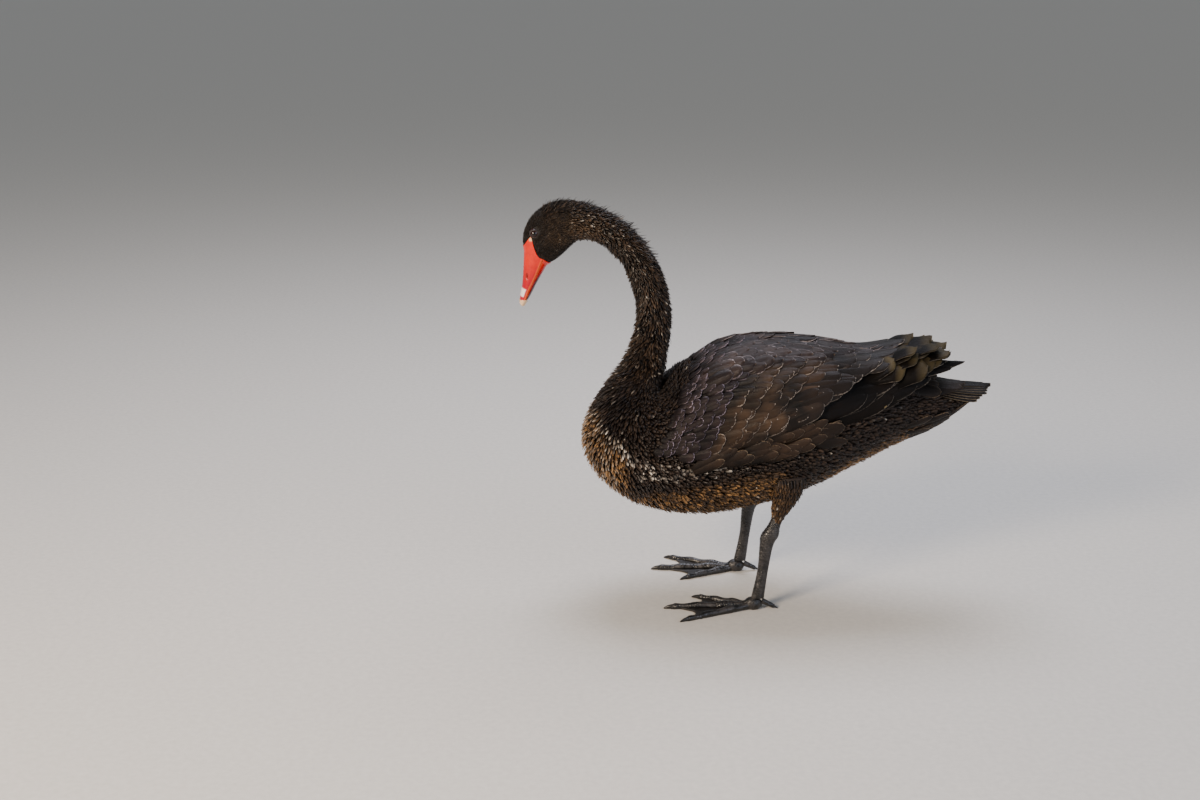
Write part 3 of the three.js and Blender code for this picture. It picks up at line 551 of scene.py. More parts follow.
def vane_row(row, side, lines):
    """Points of a row's vanes. A point runs along its feather by length times t and sideways by half the
    width times c, both turned by the aim. Its height is the arm's, plus a lift that grows with t, plus the
    tilt times c, less a camber times c squared, plus the quill, a curl from the middle to the tip, a roll of
    the lower edge and a wavy edge."""
    row = PLAIN_ROW | row
    number = row["count"]
    share = np.linspace(0, 1, number)
    longer, wider, turned, curled, rolled, moved, swung = LUCK.normal(size=(7, number))
    t, c = vane_shares(*row["grid"])
    t, c = t[None, :, None], c[None, None, :]

    def run(key):
        """A row's value at each of its vanes, from the first to the last."""
        first, last = row[key]
        return first + (last - first) * share

    length = run("length") * (1 + 0.03 * longer)
    half_width = row["width"] * (1 + 0.04 * wider) / 2
    aim = np.radians(run("aim") + row["stray"] * turned)
    curl = run("curl") * np.clip(1 + 0.3 * curled, 0.4, 1.3)
    roll = run("roll") * np.clip(1 + 0.3 * rolled, 0.4, 1.3)
    root_x, root_angle = run("x") + 2.0 * moved, np.radians(run("degrees") + swung)
    each = (length, half_width, aim, curl, roll, root_x, root_angle, rolled, wider)
    length, half_width, aim, curl, roll, root_x, root_angle, wave, loose = (v[:, None, None] for v in each)
    w = outline_width(t, row["round_from"])
    forward, sideways = length * t + 0 * c, half_width * w * c
    x = root_x + forward * np.cos(aim) - sideways * np.sin(aim)
    radius = mean_radius(curve(lines, place_at(lines, x)))
    angle = root_angle + (forward * np.sin(aim) + sideways * np.cos(aim)) / radius
    at_root, at_tip = row["lift"]
    height = arm_height(x, angle) if row["on_arm"] else 0.0
    height = height + (at_root + (at_tip - at_root) * t**0.8) + row["tilt"] * c - row["camber"] * c**2
    height = height + 0.45 * quill(c) + 0.5 * loose * t
    height = height + curl * smooth((t - 0.42) / 0.58) ** 1.3 * (1 - 0.25 * c)
    height = height + roll * ((1 + c) / 2) ** 1.6 * smooth((t - 0.42) / 0.42)
    height = height + row["wave"] * np.sin(7 * t + 3 * wave) * np.abs(c) ** 1.5 * t
    grids = [over_body(lines, x, angle, height - down, side) for down in (0.0, VANE_THICKNESS)]
    # The hump over x says how strongly each point's brown is painted as lit
    return grids, vane_values(t, c, w, half_width, length, forward, sideways, hump(x, *LIT_PART, 60))


def tail_fan():
    """Points of the tail's vanes: each a flat blade turned from the middle by its share of the spread, with
    its edges bent down, and each pair a step lower than the pair above."""
    order = np.arange(TAIL_VANES)
    pair = order // 2
    pairs = TAIL_VANES / 2
    turn = np.where(order % 2, 1, -1) * ((pair + 0.5) / pairs) ** 0.9 * np.radians(TAIL_SPREAD)
    length = TAIL_LENGTH - TAIL_SHORTER * pair / pairs + 1.5 * LUCK.normal(size=TAIL_VANES)
    each = (order, turn, length, LUCK.normal(size=TAIL_VANES))
    order, turn, length, wave = (v[:, None, None] for v in each)
    t, c = vane_shares(12, 7)
    t, c = t[None, :, None], c[None, None, :]
    w = outline_width(t, 0.66)
    forward, sideways = length * t + 0 * c, w * c * TAIL_HALF_WIDTH
    x = TAIL_ROOT[0] + forward * np.cos(turn) - sideways * np.sin(turn)
    y = forward * np.sin(turn) + sideways * np.cos(turn)
    z = TAIL_ROOT[1] - TAIL_FALL * forward - order * TAIL_STEP - 1.6 * c**2 + 0.5 * quill(c)
    z = z + 0.5 * np.sin(6 * t + 2 * wave) * np.abs(c) * t - 18 * np.sin(turn) ** 2 * t
    grids = [np.stack([x, y, z - down], -1) for down in (0.0, VANE_THICKNESS)]
    return grids, vane_values(t, c, w, TAIL_HALF_WIDTH, length, forward, sideways, 0.0)


def feather_piece(name, rows, material, *nodes):
    """One piece of many vanes, each a closed thin plate. Its texture map gives every vane a cell of a square
    grid, the upper face in the cell's left half and the lower face in its right half."""
    grid = rows[0][0][0].shape[1:3]
    one_side = grid[0] * grid[1]
    points = np.concatenate([np.stack([g.reshape(len(g), -1, 3) for g in grids], 1).reshape(-1, 3)
                             for grids, _ in rows])
    number = len(points) // (2 * one_side)
    attributes = {key: np.concatenate([np.repeat(values[key].reshape(len(values[key]), 1, -1), 2, 1).ravel()
                                       for _, values in rows]) for key in rows[0][1]}
    attributes["under"] = np.tile(np.repeat([0.0, 1.0], one_side), number)
    t, c = vane_shares(*grid)
    _, faces = plate(*np.zeros((2, *grid, 3)))
    local = np.stack(np.meshgrid(c / 2 + 0.5, t), -1).reshape(-1, 2) * FACE_IN_CELL + CELL_BORDER
    local = np.vstack([local, local + [0.5, 0]])
    cells = int(np.ceil(np.sqrt(number)))
    home = np.stack([np.arange(number) % cells, np.arange(number) // cells], -1)[:, None]
    # The thin sides take the upper face's place in the map
    top, bottom, sides = faces
    uv = np.concatenate([((home + local[f.ravel()][None]) / cells).reshape(-1, 2)
                         for f in (top, bottom, sides % one_side)])
    start = (np.arange(number) * 2 * one_side)[:, None, None]
    faces = [(f + start).reshape(-1, f.shape[1]) for f in faces]
    place_piece(make_mesh(name, points, faces, attributes, {"OFBake": uv}), material, "quills", *nodes)


# What the rows below leave unsaid. Two numbers in brackets belong to the first and the last vane of a row,
# but in grid they are the corners along and across a vane, and in lift its height over the skin at root and
# tip. A root lies at x and at degrees from the back. Aim is a vane's turn from straight back in degrees, and
# stray the seeded part of it. Tilt is how much higher the lower edge lies than the middle, camber how much
# lower both edges lie, curl how far the tip rises, roll how far the tip's lower edge does, and wave how far
# the edges swing. The tip's curve begins at the share round_from of the length. Sizes are in mm.
PLAIN_ROW = {"grid": (9, 5), "stray": 3.0, "camber": 1.2, "curl": (0, 0), "roll": (0, 0), "wave": 0.5,
             "round_from": 0.72, "on_arm": True}
QUILLS = [
    {"grid": (12, 7), "count": 8, "x": (344, 282), "degrees": (60, 82), "length": (88, 98), "width": 23,
     "aim": (-3, -7), "lift": (-0.4, 0.8), "tilt": 0.9, "wave": 0.3, "stray": 1.5},
    {"grid": (12, 7), "count": 6, "x": (350, 334), "degrees": (44, 63), "length": (116, 110), "width": 21,
     "aim": (-4, -15), "lift": (0, 1), "tilt": 0.9, "round_from": 0.5, "wave": 0.2, "stray": 1.5},
    {"grid": (12, 7), "count": 12, "x": (308, 246), "degrees": (38, 80), "length": (124, 104), "width": 25,
     "aim": (2, -13), "lift": (0, 2), "tilt": 1.1, "wave": 0.3, "stray": 1.5},
]
TERTIALS = [
    {"grid": (14, 9), "count": 5, "x": (364, 340), "degrees": (18, 54), "length": (92, 84), "width": 36,
     "aim": (1, -13), "lift": (0, 2), "tilt": 1.0, "curl": (3, 4), "roll": (8, 5), "wave": 1.8,
     "camber": 2.2, "round_from": 0.86, "stray": 4},
    {"grid": (14, 9), "count": 5, "x": (352, 324), "degrees": (17, 46), "length": (84, 76), "width": 34,
     "aim": (1, -12), "lift": (1, 3), "tilt": 1.0, "curl": (6, 4), "roll": (10, 4), "wave": 2.2,
     "camber": 2.2, "round_from": 0.86, "stray": 5},
    {"grid": (14, 9), "count": 4, "x": (338, 316), "degrees": (22, 48), "length": (74, 68), "width": 32,
     "aim": (0, -13), "lift": (2, 4), "tilt": 1.0, "curl": (6, 3), "roll": (10, 2), "wave": 2.4,
     "camber": 2.2, "round_from": 0.86, "stray": 6},
]
GREATER_COVERTS = [
    {"grid": (11, 7), "count": 12, "x": (318, 222), "degrees": (16, 76), "length": (80, 70), "width": 25,
     "aim": (-2, -12), "lift": (3, 8), "tilt": 1.2, "stray": 5},
    {"grid": (11, 7), "count": 13, "x": (292, 200), "degrees": (20, 81), "length": (74, 64), "width": 23.5,
     "aim": (-1, -12), "lift": (2, 7), "tilt": 1.2, "stray": 4},
]
COVERTS = [
    {"count": 14, "x": (264, 182), "degrees": (26, 84), "length": (68, 58), "width": 22, "aim": (0, -11),
     "lift": (1, 6), "tilt": 1.2, "stray": 4},
    {"count": 15, "x": (240, 168), "degrees": (30, 86), "length": (58, 49), "width": 19, "aim": (1, -10),
     "lift": (1, 5.5), "tilt": 1.1, "stray": 4},
    {"count": 14, "x": (217, 154), "degrees": (33, 87), "length": (50, 44), "width": 19.5, "aim": (2, -9),
     "lift": (1, 5.4), "tilt": 1.0, "stray": 4},
    {"count": 14, "x": (196, 141), "degrees": (35, 87), "length": (42, 36), "width": 17, "aim": (3, -8),
     "lift": (1.2, 5.2), "tilt": 0.9, "stray": 4},
    {"count": 15, "x": (176, 128), "degrees": (36, 88), "length": (34, 30), "width": 15, "aim": (4, -7),
     "lift": (1.2, 5), "tilt": 0.8, "stray": 4},
]
FLANK = [
    {"count": 20, "x": (268, 128), "degrees": (88, 94), "length": (52, 44), "width": 15, "aim": (-8, -12),
     "lift": (0.5, 5), "tilt": -0.6, "stray": 9, "wave": 1.2, "round_from": 0.5},
    {"count": 20, "x": (280, 118), "degrees": (94, 100), "length": (48, 40), "width": 14, "aim": (-8, -12),
     "lift": (0.5, 4.5), "tilt": -0.6, "stray": 9, "wave": 1.2, "round_from": 0.5},
]
SHOULDER_COVERTS = [
    {"count": 15, "x": (158, 116), "degrees": (36, 88), "length": (28, 25), "width": 13, "aim": (5, -5),
     "lift": (1, 4.6), "tilt": 0.7, "stray": 5},
    {"count": 15, "x": (144, 106), "degrees": (36, 88), "length": (24, 21), "width": 11.5, "aim": (6, -3),
     "lift": (1, 4.3), "tilt": 0.6, "stray": 5},
    {"count": 15, "x": (131, 97), "degrees": (36, 86), "length": (21, 18), "width": 10.5, "aim": (7, -1),
     "lift": (1, 4), "tilt": 0.5, "stray": 6},
    {"count": 14, "x": (119, 89), "degrees": (36, 84), "length": (19, 16), "width": 10, "aim": (8, 0),
     "lift": (0.6, 3.6), "tilt": 0.5, "stray": 6},
    {"count": 14, "x": (109, 82), "degrees": (36, 84), "length": (18, 15), "width": 9.5, "aim": (8, 2),
     "lift": (0, 3.4), "tilt": 0.5, "stray": 6},
    {"count": 14, "x": (101, 76), "degrees": (34, 86), "length": (17, 14), "width": 9.5, "aim": (8, 2),
     "lift": (-0.5, 3.0), "tilt": 0.5, "stray": 7},
    {"count": 14, "x": (94, 70), "degrees": (36, 86), "length": (16, 14), "width": 9.5, "aim": (8, 2),
     "lift": (-1, 2.4), "tilt": 0.5, "stray": 7},
]
SCAPULARS = [
    {"count": 11, "x": (176, 392), "degrees": (4, 3), "length": (44, 52), "width": 22, "aim": (-2, 0),
     "lift": (1, 4), "tilt": -0.8, "wave": 0.6, "stray": 4},
    {"count": 12, "x": (150, 316), "degrees": (12, 8), "length": (48, 78), "width": 22, "aim": (-3, -2),
     "lift": (1.5, 5), "tilt": -1.0, "wave": 1.0, "stray": 5},
    {"count": 12, "x": (140, 300), "degrees": (20, 14), "length": (46, 76), "width": 21, "aim": (-3, -2),
     "lift": (2, 5.5), "tilt": -1.1, "wave": 1.0, "stray": 5},
    {"count": 12, "x": (132, 286), "degrees": (28, 20), "length": (44, 74), "width": 21, "aim": (-4, -3),
     "lift": (2, 6), "tilt": -1.1, "wave": 1.0, "stray": 5},
    {"count": 12, "x": (128, 268), "degrees": (36, 27), "length": (42, 70), "width": 20, "aim": (-4, -4),
     "lift": (2.5, 6.5), "tilt": -1.1, "wave": 1.0, "stray": 5},
    {"count": 10, "x": (128, 236), "degrees": (43, 34), "length": (40, 60), "width": 19, "aim": (-4, -5),
     "lift": (2.5, 6.5), "tilt": -1.1, "wave": 1.0, "stray": 5},
]
MANTLE = [
    {"count": 8, "x": (176, 160), "degrees": (3, 42), "length": (34, 32), "width": 16, "aim": (0, 2),
     "lift": (1, 5), "tilt": 0.4, "stray": 6},
    {"count": 8, "x": (158, 142), "degrees": (5, 42), "length": (30, 27), "width": 14.5, "aim": (0, 3),
     "lift": (1, 4.6), "tilt": 0.4, "stray": 6},
    {"count": 8, "x": (142, 126), "degrees": (3, 42), "length": (26, 23), "width": 13, "aim": (0, 3),
     "lift": (1, 4.4), "tilt": 0.4, "stray": 6},
    {"count": 8, "x": (128, 112), "degrees": (5, 42), "length": (23, 20), "width": 12, "aim": (0, 4),
     "lift": (0.5, 4), "tilt": 0.4, "stray": 6},
    {"count": 8, "x": (116, 100), "degrees": (3, 42), "length": (20, 18), "width": 11, "aim": (0, 4),
     "lift": (0, 3.5), "tilt": 0.4, "stray": 6},
]
TAIL_COVERTS = [
    {"count": 15, "x": (434, 434), "degrees": (120, 240), "length": (60, 60), "width": 14, "aim": (0, 0),
     "lift": (-3, 2), "tilt": 0.3, "stray": 5, "on_arm": False},
    {"count": 15, "x": (416, 416), "degrees": (116, 244), "length": (50, 50), "width": 13, "aim": (0, 0),
     "lift": (-3, 2.4), "tilt": 0.3, "stray": 6, "on_arm": False},
    {"count": 15, "x": (400, 400), "degrees": (112, 248), "length": (44, 44), "width": 12, "aim": (0, 0),
     "lift": (-3, 2.8), "tilt": 0.3, "stray": 7, "on_arm": False},
    {"count": 7, "x": (424, 424), "degrees": (-42, 42), "length": (60, 60), "width": 22, "aim": (0, 0),
     "lift": (-3, 3), "tilt": 0.3, "on_arm": False},
    {"count": 7, "x": (398, 398), "degrees": (-46, 46), "length": (46, 46), "width": 20, "aim": (0, 0),
     "lift": (-3, 3), "tilt": 0.3, "on_arm": False},
]


# Materials, where the scale of a texture is the number of its cells in a metre, so 500 gives cells of 2 mm

# How far apart the barbs of a vane are drawn
BARB_SPACING = 1.3


def colour(hex_text):
    """An sRGB hex colour as linear red, green, blue and full alpha."""
    value = np.array([int(hex_text[i:i + 2], 16) / 255 for i in (1, 3, 5)])
    return (*np.where(value <= 0.04045, value / 12.92, ((value + 0.055) / 1.055) ** 2.4), 1.0)


def add(tree, kind, inputs=None, **settings):
    """Adds a node of a kind, sets its settings, and puts a value or a link into each named socket."""
    made = tree.nodes.new("ShaderNode" + kind)
    for key, value in settings.items():
        setattr(made, key, value)
    for key, value in (inputs or {}).items():
        if isinstance(value, bpy.types.NodeSocket):
            tree.links.new(value, made.inputs[key])
        else:
            made.inputs[key].default_value = value
    return made


def new_material(name):
    """A material with an empty node tree, and that tree."""
    material = bpy.data.materials.new(name)
    material.use_nodes = True
    material.node_tree.nodes.clear()
    return material, material.node_tree


def finish_material(material, surface):
    """Gives a material its shader, with the values and links of its surface, and returns it."""
    tree = material.node_tree
    shader = add(tree, "BsdfPrincipled", surface)
    add(tree, "OutputMaterial", {"Surface": shader.outputs[0]})
    return material


def down_feather_material(name, dark, brown, gold, roughness):
    """Feather keratin with melanin, grown as short loose barbs: dark and matt, with small wet glints where a
    tuft lies smooth. Darker at the root, as painted shade from the tufts lying over it, and browner at the
    tip, with golden brown in spots about 5 mm across where the belly and breast have it, which is partly a
    stain and partly painted warm light, and pale tips where painted glints stand for wet tips catching the
    light."""
    material, tree = new_material(name)
    read = {key: add(tree, "Attribute", attribute_name=key).outputs["Fac"]
            for key in ("tip", "shade", "golden", "painted_glint")}
    # Cloudy changes of tone about 25 mm across, as on a coat wetted in patches
    place = add(tree, "TexCoord").outputs["Object"]
    cloud = add(tree, "TexNoise", {"Vector": place, "Scale": 40.0, "Detail": 3.0}).outputs["Fac"]
    tone = add(tree, "MapRange", {"Value": cloud, "From Min": 0.35, "From Max": 0.7,
                                  "To Min": 0.3}).outputs[0]
    own = add(tree, "Math", {0: read["shade"], 1: 1.5}, operation="POWER").outputs[0]
    tone = add(tree, "Math", {0: tone, 1: own}, operation="MULTIPLY").outputs[0]
    base = add(tree, "Mix", {0: tone, 6: colour(dark), 7: colour(brown)}, data_type="RGBA").outputs[2]
    # Golden brown, partly a stain and partly painted warm light, richest towards the tip and in spots
    rich = add(tree, "MapRange", {"Value": read["tip"], "From Min": 0.1, "From Max": 0.8,
                                  "To Min": 0.3, "To Max": 1.0}).outputs[0]
    spots = add(tree, "TexNoise", {"Vector": place, "Scale": 190.0, "Detail": 2.0}).outputs["Fac"]
    spots = add(tree, "MapRange", {"Value": spots, "From Min": 0.4, "From Max": 0.56,
                                   "To Min": 0.1}).outputs[0]
    rich = add(tree, "Math", {0: rich, 1: spots}, operation="MULTIPLY").outputs[0]
    rich = add(tree, "Math", {0: rich, 1: read["golden"]}, operation="MULTIPLY", use_clamp=True).outputs[0]
    base = add(tree, "Mix", {0: rich, 6: base, 7: colour(gold)}, data_type="RGBA").outputs[2]
    # Painted glints: pale tips where the coat carries a painted glint
    pale = add(tree, "MapRange", {"Value": read["tip"], "From Min": 0.35, "From Max": 0.85}).outputs[0]
    pale = add(tree, "Math", {0: pale, 1: read["painted_glint"]}, operation="MULTIPLY", use_clamp=True).outputs[0]
    base = add(tree, "Mix", {0: pale, 6: base, 7: colour("#d8cfc2")}, data_type="RGBA").outputs[2]
    # Painted shade: darker towards the root, where the tufts over it shade it
    deep = add(tree, "MapRange", {"Value": read["tip"], "To Min": 0.4, "To Max": 1.0}).outputs[0]
    base = add(tree, "Mix", {0: 1.0, 6: base, 7: deep}, data_type="RGBA", blend_type="MULTIPLY").outputs[2]
    gloss = add(tree, "MapRange", {"Value": read["shade"], "To Min": roughness - 0.2,
                                   "To Max": roughness + 0.12}).outputs[0]
    return finish_material(material, {"Base Color": base, "Roughness": gloss, "IOR": 1.55,
                                      "Specular IOR Level": 0.2})


def vane_material(name, dark, brown, rim, rim_mm, rim_strength, roughness, below="#4a3d30", silk=0.14,
                  turned=0.0):
    """Feather keratin in closed vanes: smooth dark barbs that give a soft silk gloss across the vane, with a
    worn pale rim, frayed in steps of about 2 mm, and a duller under side, whose colour also shows on the tips
    that are turned over. The barbs are drawn about twice as far apart as real ones, so that they show. The
    part that the next row shades is darker, as painted shade, and the brown is warmest where the wing is
    painted as lit."""
    material, tree = new_material(name)
    read = {key: add(tree, "Attribute", attribute_name=key).outputs["Fac"]
            for key in ("tip", "shade", "border", "barb", "under", "lit_patch")}
    place = add(tree, "TexCoord").outputs["Object"]
    fray = add(tree, "TexNoise", {"Vector": place, "Scale": 500.0, "Detail": 2.0}).outputs["Fac"]
    cloud = add(tree, "TexNoise", {"Vector": place, "Scale": 26.0, "Detail": 3.0}).outputs["Fac"]
    tone = add(tree, "MapRange", {"Value": cloud, "From Min": 0.38, "From Max": 0.62}).outputs[0]
    own = add(tree, "MapRange", {"Value": read["shade"], "To Min": 0.35, "To Max": 1.0}).outputs[0]
    tone = add(tree, "Math", {0: tone, 1: own}, operation="MULTIPLY").outputs[0]
    # Painted light: the brown is warmest on the wing's lit stretch and darker, as in shade, away from it
    lit = add(tree, "MapRange", {"Value": read["lit_patch"], "To Min": 0.3, "To Max": 1.0}).outputs[0]
    tone = add(tree, "Math", {0: tone, 1: lit}, operation="MULTIPLY").outputs[0]
    base = add(tree, "Mix", {0: tone, 6: colour(dark), 7: colour(brown)}, data_type="RGBA").outputs[2]
    shadow = add(tree, "MapRange", {"Value": read["tip"], "From Min": 0.35, "From Max": 0.9, "To Min": 0.35,
                                    "To Max": 1.0}).outputs[0]
    base = add(tree, "Mix", {0: 1.0, 6: base, 7: shadow}, data_type="RGBA", blend_type="MULTIPLY").outputs[2]
    wave = add(tree, "Math", {0: read["barb"], 1: 2 * np.pi / BARB_SPACING}, operation="MULTIPLY").outputs[0]
    wave = add(tree, "Math", {0: wave}, operation="SINE").outputs[0]
    streak = add(tree, "MapRange", {"Value": wave, "From Min": -1.0, "From Max": 1.0, "To Min": 0.7,
                                    "To Max": 1.1}).outputs[0]
    base = add(tree, "Mix", {0: 1.0, 6: base, 7: streak}, data_type="RGBA", blend_type="MULTIPLY").outputs[2]
    # The rim's width changes with the fray, and it is only on the outer half of the feather
    width = add(tree, "MapRange", {"Value": fray, "From Min": 0.35, "From Max": 0.65,
                                   "To Min": rim_mm * 0.15, "To Max": rim_mm * 1.5}).outputs[0]
    close = add(tree, "Math", {0: read["border"], 1: width}, operation="DIVIDE").outputs[0]
    edge = add(tree, "MapRange", {"Value": close, "From Min": 0.5, "From Max": 1.2, "To Min": rim_strength,
                                  "To Max": 0.0}).outputs[0]
    outer = add(tree, "MapRange", {"Value": read["tip"], "From Min": 0.5, "From Max": 0.9}).outputs[0]
    edge = add(tree, "Math", {0: edge, 1: outer}, operation="MULTIPLY").outputs[0]
    worn = add(tree, "MapRange", {"Value": read["shade"], "From Max": 0.8, "To Min": 0.25,
                                  "To Max": 1.0}).outputs[0]
    edge = add(tree, "Math", {0: edge, 1: worn}, operation="MULTIPLY").outputs[0]
    base = add(tree, "Mix", {0: edge, 6: base, 7: colour(rim)}, data_type="RGBA").outputs[2]
    # The under side's colour, which the upper side takes as well where a tip is turned over
    dull = add(tree, "MapRange", {"Value": read["tip"], "From Min": 0.5, "From Max": 0.95}).outputs[0]
    dull = add(tree, "Math", {0: dull, 1: read["under"]}, operation="MULTIPLY").outputs[0]
    fold = add(tree, "MapRange", {"Value": read["tip"], "From Min": 0.8, "From Max": 0.92,
                                  "To Max": turned}).outputs[0]
    fold = add(tree, "Math", {0: fold, 1: own}, operation="MULTIPLY").outputs[0]
    dull = add(tree, "Math", {0: dull, 1: fold}, operation="MAXIMUM").outputs[0]
    base = add(tree, "Mix", {0: dull, 6: base, 7: colour(below)}, data_type="RGBA").outputs[2]
    relief = add(tree, "Bump", {"Height": wave, "Strength": 0.35, "Distance": 0.00025}).outputs[0]
    gloss = add(tree, "MapRange", {"Value": fray, "From Min": 0.3, "From Max": 0.7,
                                   "To Min": roughness - 0.1, "To Max": roughness + 0.12}).outputs[0]
    return finish_material(material, {"Base Color": base, "Roughness": gloss, "IOR": 1.55,
                                      "Specular IOR Level": silk, "Normal": relief})


def skin_material():
    """Bare skin under down: nearly black, matt, with pores about 2 mm apart."""
    material, tree = new_material("dark_down_on_skin")
    place = add(tree, "TexCoord").outputs["Object"]
    golden = add(tree, "Attribute", attribute_name="golden").outputs["Fac"]
    pores = add(tree, "TexVoronoi", {"Vector": place, "Scale": 500.0})
    # Browner where the coat is golden, which is partly a stain and partly painted warm light
    base = add(tree, "Mix", {0: golden, 6: colour("#0c0907"), 7: colour("#2a1a0f")},
               data_type="RGBA").outputs[2]
    relief = add(tree, "Bump", {"Height": pores.outputs["Distance"], "Strength": 0.6, "Distance": 0.0006})
    return finish_material(material, {"Base Color": base, "Roughness": 0.85, "Normal": relief.outputs[0]})


def bill_material():
    """Bill horn: a thin waxy layer over red blood-rich skin, so light goes a little way in and the gloss is
    soft. Orange at the face, crimson towards the tip, a white bar across it, a cream nail, a paler lip and a
    pale spot by the eye. The nostril's hole is painted dark red as the shade in it, and painted shade darkens
    the lower half along its lower edge."""
    material, tree = new_material("waxy_bill_horn")
    read = {key: add(tree, "Attribute", attribute_name=key).outputs["Fac"]
            for key in ("tipward", "lip", "bar", "nail", "nostril", "under_shade", "lore")}
    place = add(tree, "TexCoord").outputs["Object"]
    # Blotches about 6 mm across and fine pits about 0.8 mm apart
    blotch = add(tree, "TexNoise", {"Vector": place, "Scale": 160.0, "Detail": 4.0}).outputs["Fac"]
    pits = add(tree, "TexNoise", {"Vector": place, "Scale": 1300.0, "Detail": 2.0}).outputs["Fac"]
    blotch = add(tree, "MapRange", {"Value": blotch, "From Min": 0.38, "From Max": 0.66, "To Min": 0.0,
                                    "To Max": 0.7}).outputs[0]
    base = add(tree, "Mix", {0: read["tipward"], 6: colour("#da2202"), 7: colour("#ac002a")},
               data_type="RGBA").outputs[2]
    base = add(tree, "Mix", {0: blotch, 6: base, 7: colour("#bc140f")}, data_type="RGBA").outputs[2]
    # The dark tone of the lower edge is painted shade, and the nostril's dark red is painted shade in its
    # hole
    for key, hex_text in (("lip", "#dd5c22"), ("under_shade", "#1d1311"), ("bar", "#fff6f4"), ("nail", "#f0cfa2"),
                          ("lore", "#f2d6a6"), ("nostril", "#7c120c")):
        base = add(tree, "Mix", {0: read[key], 6: base, 7: colour(hex_text)}, data_type="RGBA").outputs[2]
    gloss = add(tree, "MapRange", {"Value": pits, "From Min": 0.3, "From Max": 0.7, "To Min": 0.16,
                                   "To Max": 0.36}).outputs[0]
    relief = add(tree, "Bump", {"Height": pits, "Strength": 0.25, "Distance": 0.0003}).outputs[0]
    return finish_material(material, {
        "Base Color": base, "Roughness": gloss, "IOR": 1.54, "Specular IOR Level": 0.3, "Normal": relief,
        "Subsurface Weight": 0.03, "Subsurface Radius": (0.003, 0.001, 0.0006), "Subsurface Scale": 1.0,
    })


def eye_material():
    """A wet eye: a clear film over a dark red-brown iris and a black pupil."""
    material, tree = new_material("wet_eye")
    away = add(tree, "Attribute", attribute_name="from_pupil").outputs["Fac"]
    fibres = add(tree, "Attribute", attribute_name="fibre").outputs["Fac"]
    iris = add(tree, "Mix", {0: fibres, 6: colour("#170806"), 7: colour("#32110a")},
               data_type="RGBA").outputs[2]
    outside = add(tree, "MapRange", {"Value": away, "From Min": PUPIL_EDGE[0],
                                     "From Max": PUPIL_EDGE[1]}).outputs[0]
    base = add(tree, "Mix", {0: outside, 6: colour("#050303"), 7: iris}, data_type="RGBA").outputs[2]
    return finish_material(material, {
        "Base Color": base, "Roughness": 0.2, "IOR": 1.38, "Specular IOR Level": 0.1,
        "Coat Weight": 0.7, "Coat Roughness": 0.02,
    })


def scaled_skin_material(name, dark, pale, roughness, scale_mm):
    """Bare scaled skin of leg and foot: dark, tough and slightly oily, with fine cracks between its scales.
    The raised middles of the scales are paler, as a painted highlight where they catch the light."""
    material, tree = new_material(name)
    raised = add(tree, "Attribute", attribute_name="raised").outputs["Fac"]
    place = add(tree, "TexCoord").outputs["Object"]
    cells = add(tree, "TexVoronoi", {"Vector": place, "Scale": 1000.0 / scale_mm}, feature="DISTANCE_TO_EDGE")
    cloud = add(tree, "TexNoise", {"Vector": place, "Scale": 90.0, "Detail": 4.0}).outputs["Fac"]
    crack = add(tree, "MapRange", {"Value": cells.outputs[0], "From Max": 0.12}).outputs[0]
    tone = add(tree, "MapRange", {"Value": cloud, "From Min": 0.35, "From Max": 0.7}).outputs[0]
    # Painted highlight: the raised middles of the scales are paler, in patches
    tone = add(tree, "Math", {0: tone, 1: raised}, operation="MULTIPLY").outputs[0]
    base = add(tree, "Mix", {0: tone, 6: colour(dark), 7: colour(pale)}, data_type="RGBA").outputs[2]
    shadow = add(tree, "MapRange", {"Value": crack, "To Min": 0.45, "To Max": 1.0}).outputs[0]
    base = add(tree, "Mix", {0: 1.0, 6: base, 7: shadow}, data_type="RGBA", blend_type="MULTIPLY").outputs[2]
    gloss = add(tree, "MapRange", {"Value": cloud, "From Min": 0.3, "From Max": 0.7,
                                   "To Min": roughness - 0.1, "To Max": roughness + 0.12}).outputs[0]
    relief = add(tree, "Bump", {"Height": crack, "Strength": 0.5, "Distance": 0.0004}).outputs[0]
    return finish_material(material, {"Base Color": base, "Roughness": gloss, "IOR": 1.5, "Normal": relief})


def plain_material(name, hex_text, roughness):
    """Smooth worn horn, thin bare skin or a painted floor: one tone with faint clouds about 8 mm across."""
    material, tree = new_material(name)
    place = add(tree, "TexCoord").outputs["Object"]
    cloud = add(tree, "TexNoise", {"Vector": place, "Scale": 120.0, "Detail": 4.0}).outputs["Fac"]
    factor = add(tree, "MapRange", {"Value": cloud, "To Min": 0.85, "To Max": 1.1}).outputs[0]
    base = add(tree, "Mix", {0: 1.0, 6: colour(hex_text), 7: factor}, data_type="RGBA",
               blend_type="MULTIPLY").outputs[2]
    return finish_material(material, {"Base Color": base, "Roughness": roughness, "IOR": 1.5})


